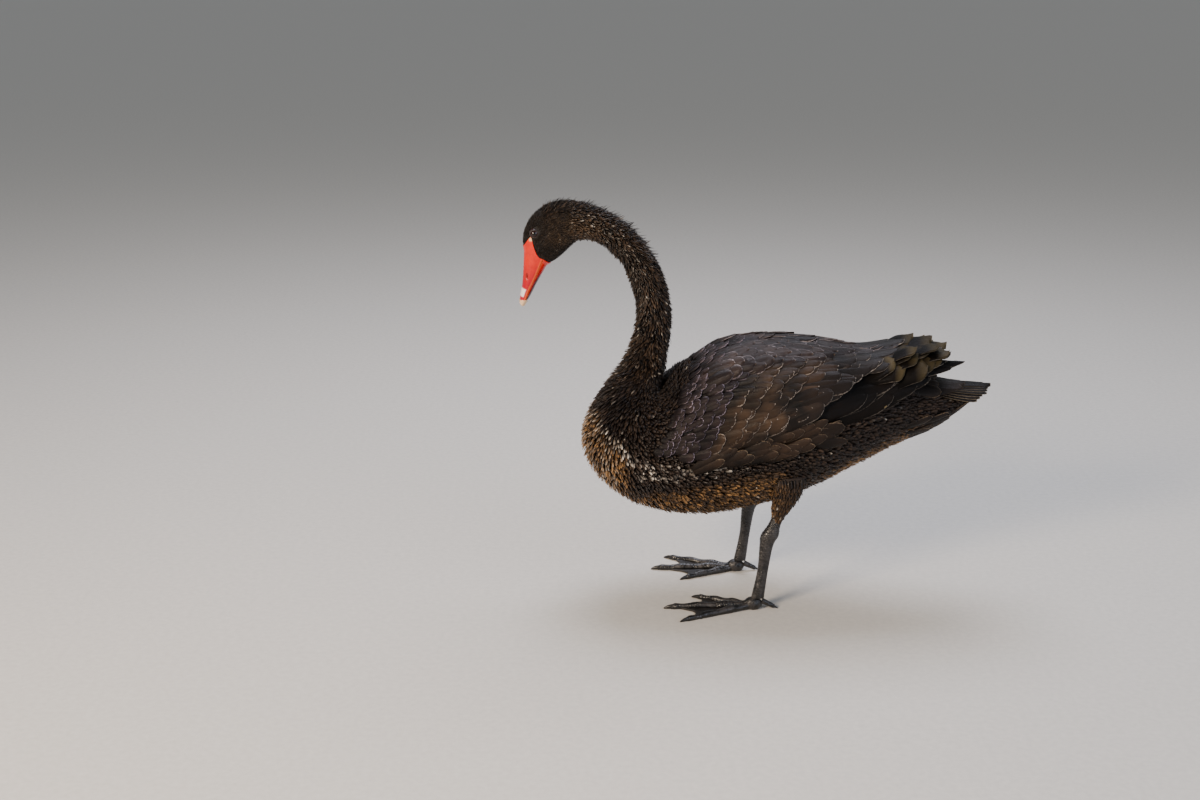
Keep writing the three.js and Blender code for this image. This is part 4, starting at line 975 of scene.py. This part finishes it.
HEAD_FEATHERS = down_feather_material("short_head_feathers", "#17120e", "#41342a", "#5c4a38", 0.55)
NECK_FEATHERS = down_feather_material("tufted_neck_feathers", "#120e0c", "#574434", "#5f4830", 0.4)
BODY_FEATHERS = down_feather_material("body_contour_feathers", "#17110f", "#3d2f25", "#967044", 0.5)
QUILL_VANES = vane_material("wing_quill_vanes", "#0c0a09", "#2a1f18", "#94897c", rim_mm=0.8, rim_strength=0.6,
                            roughness=0.44, below="#6e6246", silk=0.07)
TERTIAL_VANES = vane_material("tertial_vanes", "#0b0908", "#231b15", "#94897c", rim_mm=0.7, rim_strength=0.5,
                              roughness=0.46, below="#4f452f", silk=0.05, turned=0.75)
GREATER_VANES = vane_material("greater_covert_vanes", "#140f0c", "#3a2c21", "#aa9d90", rim_mm=1.0,
                              rim_strength=0.9, roughness=0.48)
COVERT_VANES = vane_material("wing_covert_vanes", "#19130f", "#4a3829", "#b5a596", rim_mm=1.0,
                             rim_strength=0.9, roughness=0.46)
SHOULDER_VANES = vane_material("shoulder_covert_vanes", "#191214", "#3f3230", "#a596a2", rim_mm=1.0,
                               rim_strength=0.95, roughness=0.46)
SCAPULAR_VANES = vane_material("scapular_vanes", "#191313", "#44352e", "#b3a5a2", rim_mm=0.9,
                               rim_strength=1.0, roughness=0.45)
FLANK_VANES = vane_material("soft_flank_vanes", "#1a130f", "#3e2e22", "#8f7c66", rim_mm=0.9,
                            rim_strength=0.55, roughness=0.5)
SKIN = skin_material()
BILL = bill_material()
EYES = eye_material()
LIDS = plain_material("grey_eyelid_skin", "#241e1c", 0.6)
LEG_SKIN = scaled_skin_material("scaled_leg_skin", "#100f10", "#4a4645", roughness=0.27, scale_mm=3.0)
WEB_SKIN = scaled_skin_material("foot_web_skin", "#161415", "#3c3836", roughness=0.5, scale_mm=1.6)
CLAWS = plain_material("worn_claw_horn", "#171514", 0.35)


# Skin and coat

# Where the folded wings and the back's vanes hide the body: between two ends, down to an angle from the back
HIDDEN_ENDS = (116, 412)
HIDDEN_ANGLE = 72


def body_skin():
    """The skin from tail to bill: the body's surface sunk by the depth of its coat at each place. Its rings
    are closer together from the breast to the bill."""
    place, angle = tube_grid(np.concatenate([np.linspace(0, 12, 76), np.linspace(12.15, 26.3, 110)]), 96)
    points, faces = closed_tube(surface(place, angle, -np.interp(place, *BODY_COAT)))
    piece = make_mesh("body_skin", points, faces, {"golden": markings_and_painted_light(points)[0]})
    place_piece(piece, SKIN, "plumage", "torso", "neck_lower", "neck_middle", "neck_upper", "head")


def thigh(name, offset):
    """A thigh's skin, a tube whose half size is the leg's less the depth of its coat, and its coat."""
    place, angle = tube_grid(np.linspace(0, len(THIGH) - 1, 24), 40)
    points, faces = closed_tube(surface(place, angle, -np.interp(place, *THIGH_COAT), THIGH))
    piece = make_mesh(f"thigh_skin_{name}", points + offset, faces, {"golden": 0.5})
    place_piece(piece, SKIN, "plumage", f"thigh_{name}")
    coat(f"thigh_coat_{name}", BODY_FEATHERS, 0, len(THIGH) - 1, row_step=3.2, gap=2.4, length=11, width=3.4,
         rise=0.8, lines=THIGH, offset=offset, under=THIGH_COAT)


def off_bill_and_eye(point, _):
    """True on the feathered side of the bill's edge and outside the eyelids, whatever the angle."""
    above_edge = point[:, 2] > edge_height(point[:, 0]) + 0.3
    eyelid = np.hypot(point[:, 0] - EYE[0], point[:, 2] - EYE[1]) < LID_ROOM
    return above_edge & ~(eyelid & (np.abs(point[:, 1]) > HEAD_SIDE))


def off_wing(point, angle):
    """True where neither a folded wing nor the back's vanes hide the body."""
    degrees = np.degrees(np.abs(np.mod(angle + np.pi, 2 * np.pi) - np.pi))
    x = point[:, 0]
    return ~((x > HIDDEN_ENDS[0]) & (x < HIDDEN_ENDS[1]) & (degrees < HIDDEN_ANGLE))


def body_coat():
    """The coats from the bill back to the tail: short and flat on the head, in loose tufts on the neck, and
    broad on the body."""
    coat("head_coat", HEAD_FEATHERS, 20.6, 26.4, row_step=1.7, gap=1.45, length=4.2, width=1.3, rise=0.9,
         scatter=6, glint_share=0.012, shape=POINTED, ridge=0.2, keep=off_bill_and_eye)
    coat("nape_tufts", NECK_FEATHERS, 17.0, 22.3, row_step=4.2, gap=3.0, length=9.5, width=1.9, rise=1.9,
         scatter=20, shaggy=0.8, glint_share=0.04, shape=POINTED, ridge=0.2, spread=(-1.0, 1.0))
    coat("neck_coat_upper", NECK_FEATHERS, 16.4, 20.9, row_step=2.8, gap=2.2, length=6.8, width=2.7, rise=0.9,
         scatter=21, shaggy=0.36, glint_share=0.17, shape=POINTED, ridge=0.26)
    coat("neck_coat_lower", NECK_FEATHERS, 12.2, 16.8, row_step=3.2, gap=2.5, length=8.5, width=3.2, rise=0.9,
         scatter=18, shaggy=0.3, glint_share=0.13, shape=POINTED, ridge=0.24)
    coat("breast_coat", BODY_FEATHERS, 7.0, 12.6, row_step=3.9, gap=3.3, length=11, width=4.8, rise=0.75,
         scatter=10, shaggy=0.14, keep=off_wing)
    coat("belly_coat", BODY_FEATHERS, 1.9, 7.3, row_step=4.1, gap=3.6, length=13, width=5.2, rise=0.75,
         scatter=10, shaggy=0.14, keep=off_wing)
    coat("rump_coat", BODY_FEATHERS, 0.1, 2.2, row_step=4.4, gap=3.6, length=14, width=5.0, rise=0.75,
         scatter=10, shaggy=0.14)


# Wings and tail

# The parts of a wing from the lowest up, each with its rows and its material
WING_PARTS = (
    ("quills", QUILLS, QUILL_VANES), ("tertials", TERTIALS, TERTIAL_VANES),
    ("greater_coverts", GREATER_COVERTS, GREATER_VANES), ("coverts", COVERTS, COVERT_VANES),
    ("shoulder_coverts", SHOULDER_COVERTS, SHOULDER_VANES), ("mantle", MANTLE, SHOULDER_VANES),
    ("scapulars", SCAPULARS, SCAPULAR_VANES), ("flank_feathers", FLANK, FLANK_VANES),
)


def arm(name, side):
    """The folded arm under a wing's feathers: a closed plate whose outside swells over the flank."""
    x, share = np.meshgrid(np.linspace(*PLATE_ENDS, 68), np.linspace(0, 1, 26), indexing="ij")
    top, low = np.interp(x, *ARM_TOP), np.interp(x, *PLATE_LOW)
    angle = np.radians(top + (low - top) * share)
    outside = over_body(WING, x, angle, arm_height(x, angle) - PLATE_SUNK, side)
    inside = over_body(WING, x, angle, np.full(x.shape, PLATE_BACK), side)
    points, faces = plate(outside, inside)
    place_piece(make_mesh(f"arm_{name}", points, faces, {"golden": 0.0}), SKIN, "plumage", f"wing_{name}")


def wing(name, side):
    """All the vanes of a wing, one piece for each of its parts."""
    for part, rows, vanes in WING_PARTS:
        feather_piece(f"{part}_{name}", [vane_row(row, side, WING) for row in rows], vanes, f"wing_{name}")


def tail():
    """The tail's fan and the coverts over and under its root."""
    feather_piece("tail_quills", [tail_fan()], QUILL_VANES, "tail")
    feather_piece("tail_coverts", [vane_row(row, 1, BODY) for row in TAIL_COVERTS], FLANK_VANES, "tail")


# Bill, eyes and lids


def edge_height(x):
    """The height of the feathers' edge round the bill at x."""
    return np.interp(x, FEATHER_EDGE[:, 0], FEATHER_EDGE[:, 1])


def mouth_x(z):
    """Where the mouth line is at height z."""
    return np.interp(-z, -MOUTH[:, 1], MOUTH[:, 0])


def mouth_angle(place):
    """The angle from the bill's ridge at which each section crosses the mouth line."""
    angle = np.linspace(0, np.pi, 240)
    point = surface(place[:, None], angle[None], 0)
    behind = point[..., 0] - mouth_x(point[..., 2])
    first = np.clip(np.argmax(behind > 0, 1), 1, None)
    row = np.arange(len(place))
    before, after = behind[row, first - 1], behind[row, first]
    crossing = angle[first - 1] + (angle[1] - angle[0]) * before / (before - after)
    return np.where((behind > 0).any(1), crossing, np.pi)


def bill_half(name, upper):
    """Half of the bill: the body's surface between the feathers' edge and the tip, on one side of the mouth
    line. Its height has a soft swelling at the face, a flared lip, the nostril's hollow and the nail's step,
    and the last part is drawn in to a point as a quarter circle. The inside is the outside at 0.7 of its
    distance from the middle."""
    share = np.linspace(-1, 1, 81)
    fine = np.linspace(FACE, UPPER_TIP, 600)
    limit = mouth_angle(fine)

    def turn(place):
        """The angles of a section's points, from one side of the mouth to the other."""
        most = np.interp(place, fine, limit)
        return share * most if upper else np.pi + share * (np.pi - most)

    point = surface(fine[:, None], turn(fine[:, None]), 0)
    feathered = point[..., 2] > edge_height(point[..., 0])
    start = fine[len(fine) - 1 - np.argmax(feathered[::-1], 0)] - 0.1
    stop = UPPER_TIP if upper else LOWER_TIP
    run = np.linspace(0, 1, 120)[:, None]
    place = start + (stop - start) * run
    angle = turn(place)
    flat = surface(place, angle, 0)
    x, z = flat[..., 0], flat[..., 2]
    lip = 1 - np.abs(share)[None] + 0 * place
    long, high = (x - NOSTRIL[0]) / NOSTRIL_HOLLOW[0], (z - NOSTRIL[1]) / NOSTRIL_HOLLOW[1]
    height = 0.5 * (1 - run) ** 4 - 1.1 * np.exp(-long**2 - high**2) * upper
    height = height + (0.45 if upper else -0.7) * np.exp(-(lip / 0.05) ** 2)
    # The nail stands half a mm higher, behind a shallow groove
    height = height + 0.5 * smooth((NAIL_EDGE - 0.5 - z) / 1.5) * upper
    height = height - 0.25 * np.exp(-((z - (NAIL_EDGE + 0.5)) / 1.2) ** 2) * upper
    outer = surface(place, angle, height + 0.12 * ripple(flat, 7, 0.5))
    s = curve(BODY, place)
    middle = np.stack([(s[..., 0] + s[..., 2]) / 2, 0 * s[..., 0], (s[..., 1] + s[..., 3]) / 2], -1)
    close = np.sqrt(np.clip(1 - np.clip((run - 0.93) / 0.07, 0, 1) ** 2, 0.0004, 1))[..., None]
    outer = middle + (outer - middle) * close
    points, faces = plate(outer, middle + (outer - middle) * 0.7)
    x, y, z = points.T
    from_mouth = np.abs(x - mouth_x(z))
    from_hole = np.hypot((x - NOSTRIL[0]) / NOSTRIL_HOLE[0], (z - NOSTRIL[1]) / NOSTRIL_HOLE[1])
    from_spot = np.hypot(x - PALE_SPOT[0], z - PALE_SPOT[1])
    ridge_x = np.interp(-z, -BILL_LINES[:, 1], BILL_LINES[:, 0])
    keel_x = np.interp(-z, -BILL_LINES[:, 3], BILL_LINES[:, 2])
    bar = hump(z + 0.25 * (x - ridge_x), *WHITE_BAR, 1.6)
    # How strongly each tone shows. The crimson comes in over the 52 mm below the face, the lip's tone ends
    # 2.6 mm from the mouth's line, the bar's begins about there, and painted shade runs along the lower
    # half's lower edge. The nostril's hole is painted dark as the shade in it.
    attributes = {
        "tipward": smooth((474 - z) / 52),
        "lip": 0.75 * smooth((2.6 - from_mouth) / 1.8) * smooth((470 - z) / 8),
        "bar": 0.92 * bar * upper * smooth((from_mouth - 2.5) / 2.5),
        "nail": 0.9 * smooth((NAIL_EDGE - z) / 2.0),
        "nostril": smooth((1.25 - from_hole) / 0.5) * upper,
        "under_shade": 0.9 * smooth((x - keel_x + 4.4) / 2.0) * smooth((452 - z) / 14) * (not upper),
        "lore": 0.85 * smooth((3.2 - from_spot) / 2.0) * (np.abs(y) > 6),
    }
    place_piece(make_mesh(f"{name}_horn", points, faces, attributes), BILL, "bill", name)


def eye(name, side):
    """An eye's ball and its lid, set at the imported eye's outermost point."""
    low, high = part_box(f"eye_{name}")
    centre = np.array([EYE[0], (high[1] if side > 0 else low[1]) / MM - side * EYE_BALL, EYE[1]])
    eyeball(name, side, centre)
    eyelid(name, side, centre)


def eyeball(name, side, centre):
    """A ball with its poles on the line of sight, swelled over the pupil. Its attributes are the distance
    from the pupil's middle, and the iris's fibres as two crossing sine waves round it."""
    tilt, around = tube_grid(np.linspace(0.04, 3.1, 34), 56)
    radius = EYE_BALL + 0.35 * smooth(1 - tilt / 0.6)
    ball = np.stack([radius * np.sin(tilt) * np.cos(around), side * radius * np.cos(tilt),
                     radius * np.sin(tilt) * np.sin(around)], -1) + centre
    points, faces = closed_tube(ball)
    x, _, z = (points - centre).T
    away = np.hypot(x, z)
    turn = np.arctan2(z, x)
    fibre = 0.5 + 0.5 * np.sin(23 * turn) * np.sin(7 * turn + away)
    piece = make_mesh(f"eyeball_{name}", points, faces, {"from_pupil": away, "fibre": fibre})
    place_piece(piece, EYES, "eye", f"eye_{name}")


def eyelid(name, side, centre):
    """A ring round the eye whose tube follows the ball: the ring is wider along the head than across it, and
    its tube is thickest above the eye."""
    around, tube = np.meshgrid(round_turn(72), round_turn(14), indexing="ij")
    wide, thick = LID_RADIUS - LID_FLATTER * np.sin(around) ** 2, LID_TUBE + LID_HEAVIER * np.sin(around)
    reach = wide + thick * np.cos(tube)
    out = np.sqrt(EYE_BALL**2 - wide**2) + 0.25 + thick * np.sin(tube) * 0.9
    ring = np.stack([reach * np.cos(around), side * out, reach * np.sin(around)], -1) + centre
    rows, columns = around.shape
    faces = grid_faces(rows + 1, columns, True) % around.size
    place_piece(make_mesh(f"eyelid_{name}", ring.reshape(-1, 3), [faces]), LIDS, "eye")


# Legs and feet

# How far apart the broad plates and the small scales of the shank lie, and the plates of the toes
SHANK_PLATES, SMALL_SCALES, TOE_PLATES = 4.4, 2.6, 3.0
# A front claw's length, its half width as a share of its toe's, and the hind claw's length and half width
CLAW_LENGTH, CLAW_SHARE = 12.5, 0.6
HIND_CLAW = (7.5, 2.1)
# The hind toe's root and its whole run from there, measured from the foot's middle, and its half width
HIND_ROOT = [15, 0, 11]
HIND_RUN = np.array([16.0, 0, -7.6])
HIND_HALF = 3.6
# The ball of the foot: half sizes along, across and up, and its middle measured from the foot's middle
BALL_SIZE = (12.5, 9.5, 9.5)
BALL_MIDDLE = [3, 0, 7.4]
# The share of the toes' length that a web reaches at its sides, and how much less in its middle
WEB_REACH, WEB_BAY = 0.93, 0.16


def shank(name, offset):
    """A shank and its ankle: a tube whose height has a row of broad plates down the front, each half a sine
    wave under a square root, and small scales on the sides and back, the product of two such waves."""
    place, angle = tube_grid(np.linspace(0, len(SHANK) - 1, 200), 44)
    z = surface(place, angle, 0, SHANK)[..., 2]
    front = smooth((-np.cos(angle) - 0.35) / 0.3)
    plates = np.sqrt(np.abs(np.sin(np.pi * z / SHANK_PLATES)))
    staggered = 8 * angle + np.pi * np.floor(z / SMALL_SCALES) / 2
    small = np.abs(np.sin(np.pi * z / SMALL_SCALES) * np.sin(staggered))
    scales = front * plates + (1 - front) * np.sqrt(small)
    points, faces = closed_tube(surface(place, angle, 0.45 * scales - 0.3, SHANK))
    # How raised each point is, which the skin's material turns into a painted highlight
    raised = np.append(scales.ravel(), [0, 0])
    piece = make_mesh(f"scaled_shank_{name}", points + offset, faces, {"raised": raised})
    place_piece(piece, LEG_SKIN, "leg_skin", f"shank_{name}")


def beside(way):
    """The level direction across a way."""
    return np.array([-way[1], way[0], 0])


def front_toe(way, length, half):
    """A toe as rings, how raised its plates are, and its claw as rings. The toe's radius shrinks along it,
    swells at the joints as a cosine and closes at the end. Broad plates run over its top, each half a sine
    wave under a square root, and its sole is flat on the floor."""
    share, around = np.linspace(0, 1, 60)[:, None], round_turn(20)[None]
    radius = half * (1.12 - 0.42 * share) * (1 + 0.1 * np.cos(2 * np.pi * 3 * share))
    radius = radius * np.sqrt(np.clip(1 - np.clip((share - 0.93) / 0.07, 0, 1) ** 2 * 0.8, 0, 1))
    plates = np.sqrt(np.abs(np.sin(np.pi * share * length / TOE_PLATES))) * smooth(np.sin(around) / 0.4)
    size = radius + 0.35 * plates
    line = FOOT_MIDDLE + way * (length * share)
    rings = line[:, None] + beside(way) * (size * np.cos(around))[..., None]
    rings[..., 2] += np.maximum(radius * 0.86 + size * np.sin(around), 0)
    root = line[-1] - way * 3.0 + [0, 0, half * 0.62]
    return rings, plates, claw(root, way, CLAW_LENGTH, half * CLAW_SHARE)


def hind_toe():
    """The short hind toe and its claw, as rings: a tapering tube along a line that slopes to the floor."""
    share, around = np.linspace(0, 1, 40)[:, None], round_turn(20)[None]
    line = FOOT_MIDDLE + HIND_ROOT + HIND_RUN * share
    size = HIND_HALF * (1.1 - 0.35 * share)
    rings = line[:, None] + np.stack([0.4 * size * np.sin(around), size * np.cos(around),
                                      size * np.sin(around)], -1)
    way = unit(np.array([1.0, 0, -0.15]))
    return on_floor(rings), claw(line[-1] + [-1.5, 0, 0.4], way, *HIND_CLAW)


def ball_of_foot():
    """The pad under the ankle, as rings: an ellipsoid whose part below the floor is pressed flat."""
    rise, turn = tube_grid(np.linspace(-1.5, 1.5, 24), 20)
    long, wide, high = BALL_SIZE
    rings = np.stack([long * np.cos(rise) * np.cos(turn), -wide * np.cos(rise) * np.sin(turn),
                      high * np.sin(rise)], -1)
    return on_floor(rings + FOOT_MIDDLE + BALL_MIDDLE)


def on_floor(rings):
    """Points below the floor raised to it."""
    rings[..., 2] = np.maximum(rings[..., 2], 0)
    return rings


def claw(root, way, length, half):
    """Rings of a claw: round rings that shrink as the square root of what is left of its length, along a line
    that bends down as the square of the share run."""
    share, around = np.linspace(0, 1, 20)[:, None], round_turn(16)[None]
    size = half * np.sqrt(np.clip(1 - share**1.3, 0.002, 1))
    line = root + way * (length * share)
    rings = line[:, None] + unit(beside(way)) * (0.85 * size * np.cos(around))[..., None]
    rings[..., 2] += size * np.sin(around) - root[2] * 0.7 * share**2
    return on_floor(rings)


def join(name, tubes, offset, material, *nodes):
    """One piece from many closed tubes, each with how raised its points are, which sets how strong their
    painted highlight is.
    """
    points, faces, raised, count = [], [[], []], [], 0
    for rings, values in tubes:
        some, sides = closed_tube(rings)
        points.append(some)
        for kept, new in zip(faces, sides):
            kept.append(new + count)
        raised.append(np.append(np.broadcast_to(values, rings.shape[:2]).ravel(), [0.5, 0.5]))
        count += len(some)
    piece = make_mesh(name, np.vstack(points) + offset, [np.vstack(kept) for kept in faces],
                      {"raised": np.concatenate(raised)})
    place_piece(piece, material, "leg_skin", *nodes)


def web(name, first, second, offset):
    """A web between two toes, each a way times a length: a closed plate whose points run from the foot's
    middle by the share u, between the toes by the share v. It is shorter in its middle, thicker at its root,
    and waved by two sine waves."""
    u, v = np.meshgrid(np.linspace(0.02, 1, 60), np.linspace(0, 1, 40), indexing="ij")
    reach = u * (WEB_REACH - WEB_BAY * np.sin(np.pi * v))
    flat = FOOT_MIDDLE + (first * (1 - v)[..., None] + second * v[..., None]) * reach[..., None]
    folds = np.sin(np.pi * v) * (0.35 * np.sin(7 * np.pi * v) * u + 0.2 * np.sin(26 * u + 5 * v))
    top = flat + np.stack([0 * u, 0 * u, 3.0 + folds + 1.5 * (1 - u) ** 2], -1)
    under = flat + np.stack([0 * u, 0 * u, np.maximum(0.9 + 0.6 * folds, 0.3)], -1)
    points, faces = plate(top, under)
    # An even painted highlight on the web
    place_piece(make_mesh(name, points + offset, faces, {"raised": 0.6}), WEB_SKIN, "leg_skin")


def foot(name, offset, outwards):
    """A foot: three long toes and a short hind toe on its ball, a claw at each end, and two webs."""
    tubes, claws, ends = [], [], []
    for turn, length, half in TOES:
        way = np.array([-np.cos(np.radians(turn)), outwards * np.sin(np.radians(turn)), 0])
        rings, plates, front_claw = front_toe(way, length, half)
        tubes.append((rings, plates))
        claws.append((front_claw, 0.0))
        ends.append(way * length)
    hind, hind_claw = hind_toe()
    tubes += [(hind, 0.5), (ball_of_foot(), 0.5)]
    claws.append((hind_claw, 0.0))
    join(f"scaled_toes_{name}", tubes, offset, LEG_SKIN, f"foot_{name}")
    join(f"claws_{name}", claws, offset, CLAWS)
    web(f"web_inner_{name}", ends[0], ends[1], offset)
    web(f"web_outer_{name}", ends[1], ends[2], offset)


# The whole bird

body_skin()
body_coat()
tail()
for label, facing in (("left", -1), ("right", 1)):
    arm(label, facing)
    wing(label, facing)
    eye(label, facing)
    thigh(label, LEGS[label])
    shank(label, LEGS[label])
    foot(label, LEGS[label], facing)
bill_half("bill_upper", True)
bill_half("bill_lower", False)


# Floor, light and camera, in metres where nothing else is said

FLOOR_HALF = 90
# The lights' shared aim, and each one's spot, width, watts and tint
MIDDLE_OF_BIRD = (0.0, 0.0, 0.28)
LIGHTS = {
    "key_light": ((-1.9, -2.1, 1.5), 0.8, 120, "#ffe9cf"),
    "fill_light": ((1.9, -1.9, 1.3), 1.8, 30, "#dfe9ff"),
    "top_light": ((0.0, 0.9, 2.4), 1.4, 60, "#eef0ff"),
}
ROOM_TINT, ROOM_STRENGTH = "#dfe4ea", 0.42
# The camera of the photograph, in mm: the film's width, the lens, its distance and its height over the floor
# before the sections' shift, and how many degrees it looks down
FILM_WIDTH, LENS = 36.0, 52.5
CAMERA_DISTANCE, CAMERA_HEIGHT, CAMERA_DOWN = 2273, 895, 15.34


def painted_floor():
    """A wide level square under the soles."""
    corners = np.array([[-1, -1, 0], [1, -1, 0], [1, 1, 0], [-1, 1, 0]]) * FLOOR_HALF / MM
    floor = make_mesh("floor", corners, [np.array([[0, 1, 2, 3]])])
    floor.data.materials.append(plain_material("matt_floor_paint", "#cfcbc4", 0.7))


def area_light(name, spot, width, watts, tint):
    """A square soft box at a spot, turned to face the middle of the bird."""
    lamp = bpy.data.lights.new(name, "AREA")
    lamp.shape, lamp.size, lamp.energy, lamp.color = "SQUARE", width, watts, colour(tint)[:3]
    holder = bpy.data.objects.new(name, lamp)
    holder.location = spot
    holder.rotation_euler = (Vector(MIDDLE_OF_BIRD) - Vector(spot)).to_track_quat("-Z", "Y").to_euler()
    bpy.context.scene.collection.objects.link(holder)


def room_light():
    """An even pale light from all round."""
    world = bpy.data.worlds.new("pale_room")
    world.use_nodes = True
    background = world.node_tree.nodes["Background"]
    background.inputs["Color"].default_value = colour(ROOM_TINT)
    background.inputs["Strength"].default_value = ROOM_STRENGTH
    bpy.context.scene.world = world


def photograph_camera():
    """The camera as it stood for the photograph, looking across the bird's left side and a little down."""
    camera = bpy.data.cameras.new("camera")
    camera.sensor_width, camera.lens = FILM_WIDTH, LENS
    camera.clip_end = 200.0
    viewer = bpy.data.objects.new("camera", camera)
    viewer.location = (SHIFT[0] * MM, -CAMERA_DISTANCE * MM, (CAMERA_HEIGHT + SHIFT[2]) * MM)
    viewer.rotation_euler = (np.radians(90 - CAMERA_DOWN), 0, 0)
    bpy.context.scene.collection.objects.link(viewer)
    bpy.context.scene.camera = viewer


painted_floor()
for label, light in LIGHTS.items():
    area_light(label, *light)
room_light()
photograph_camera()
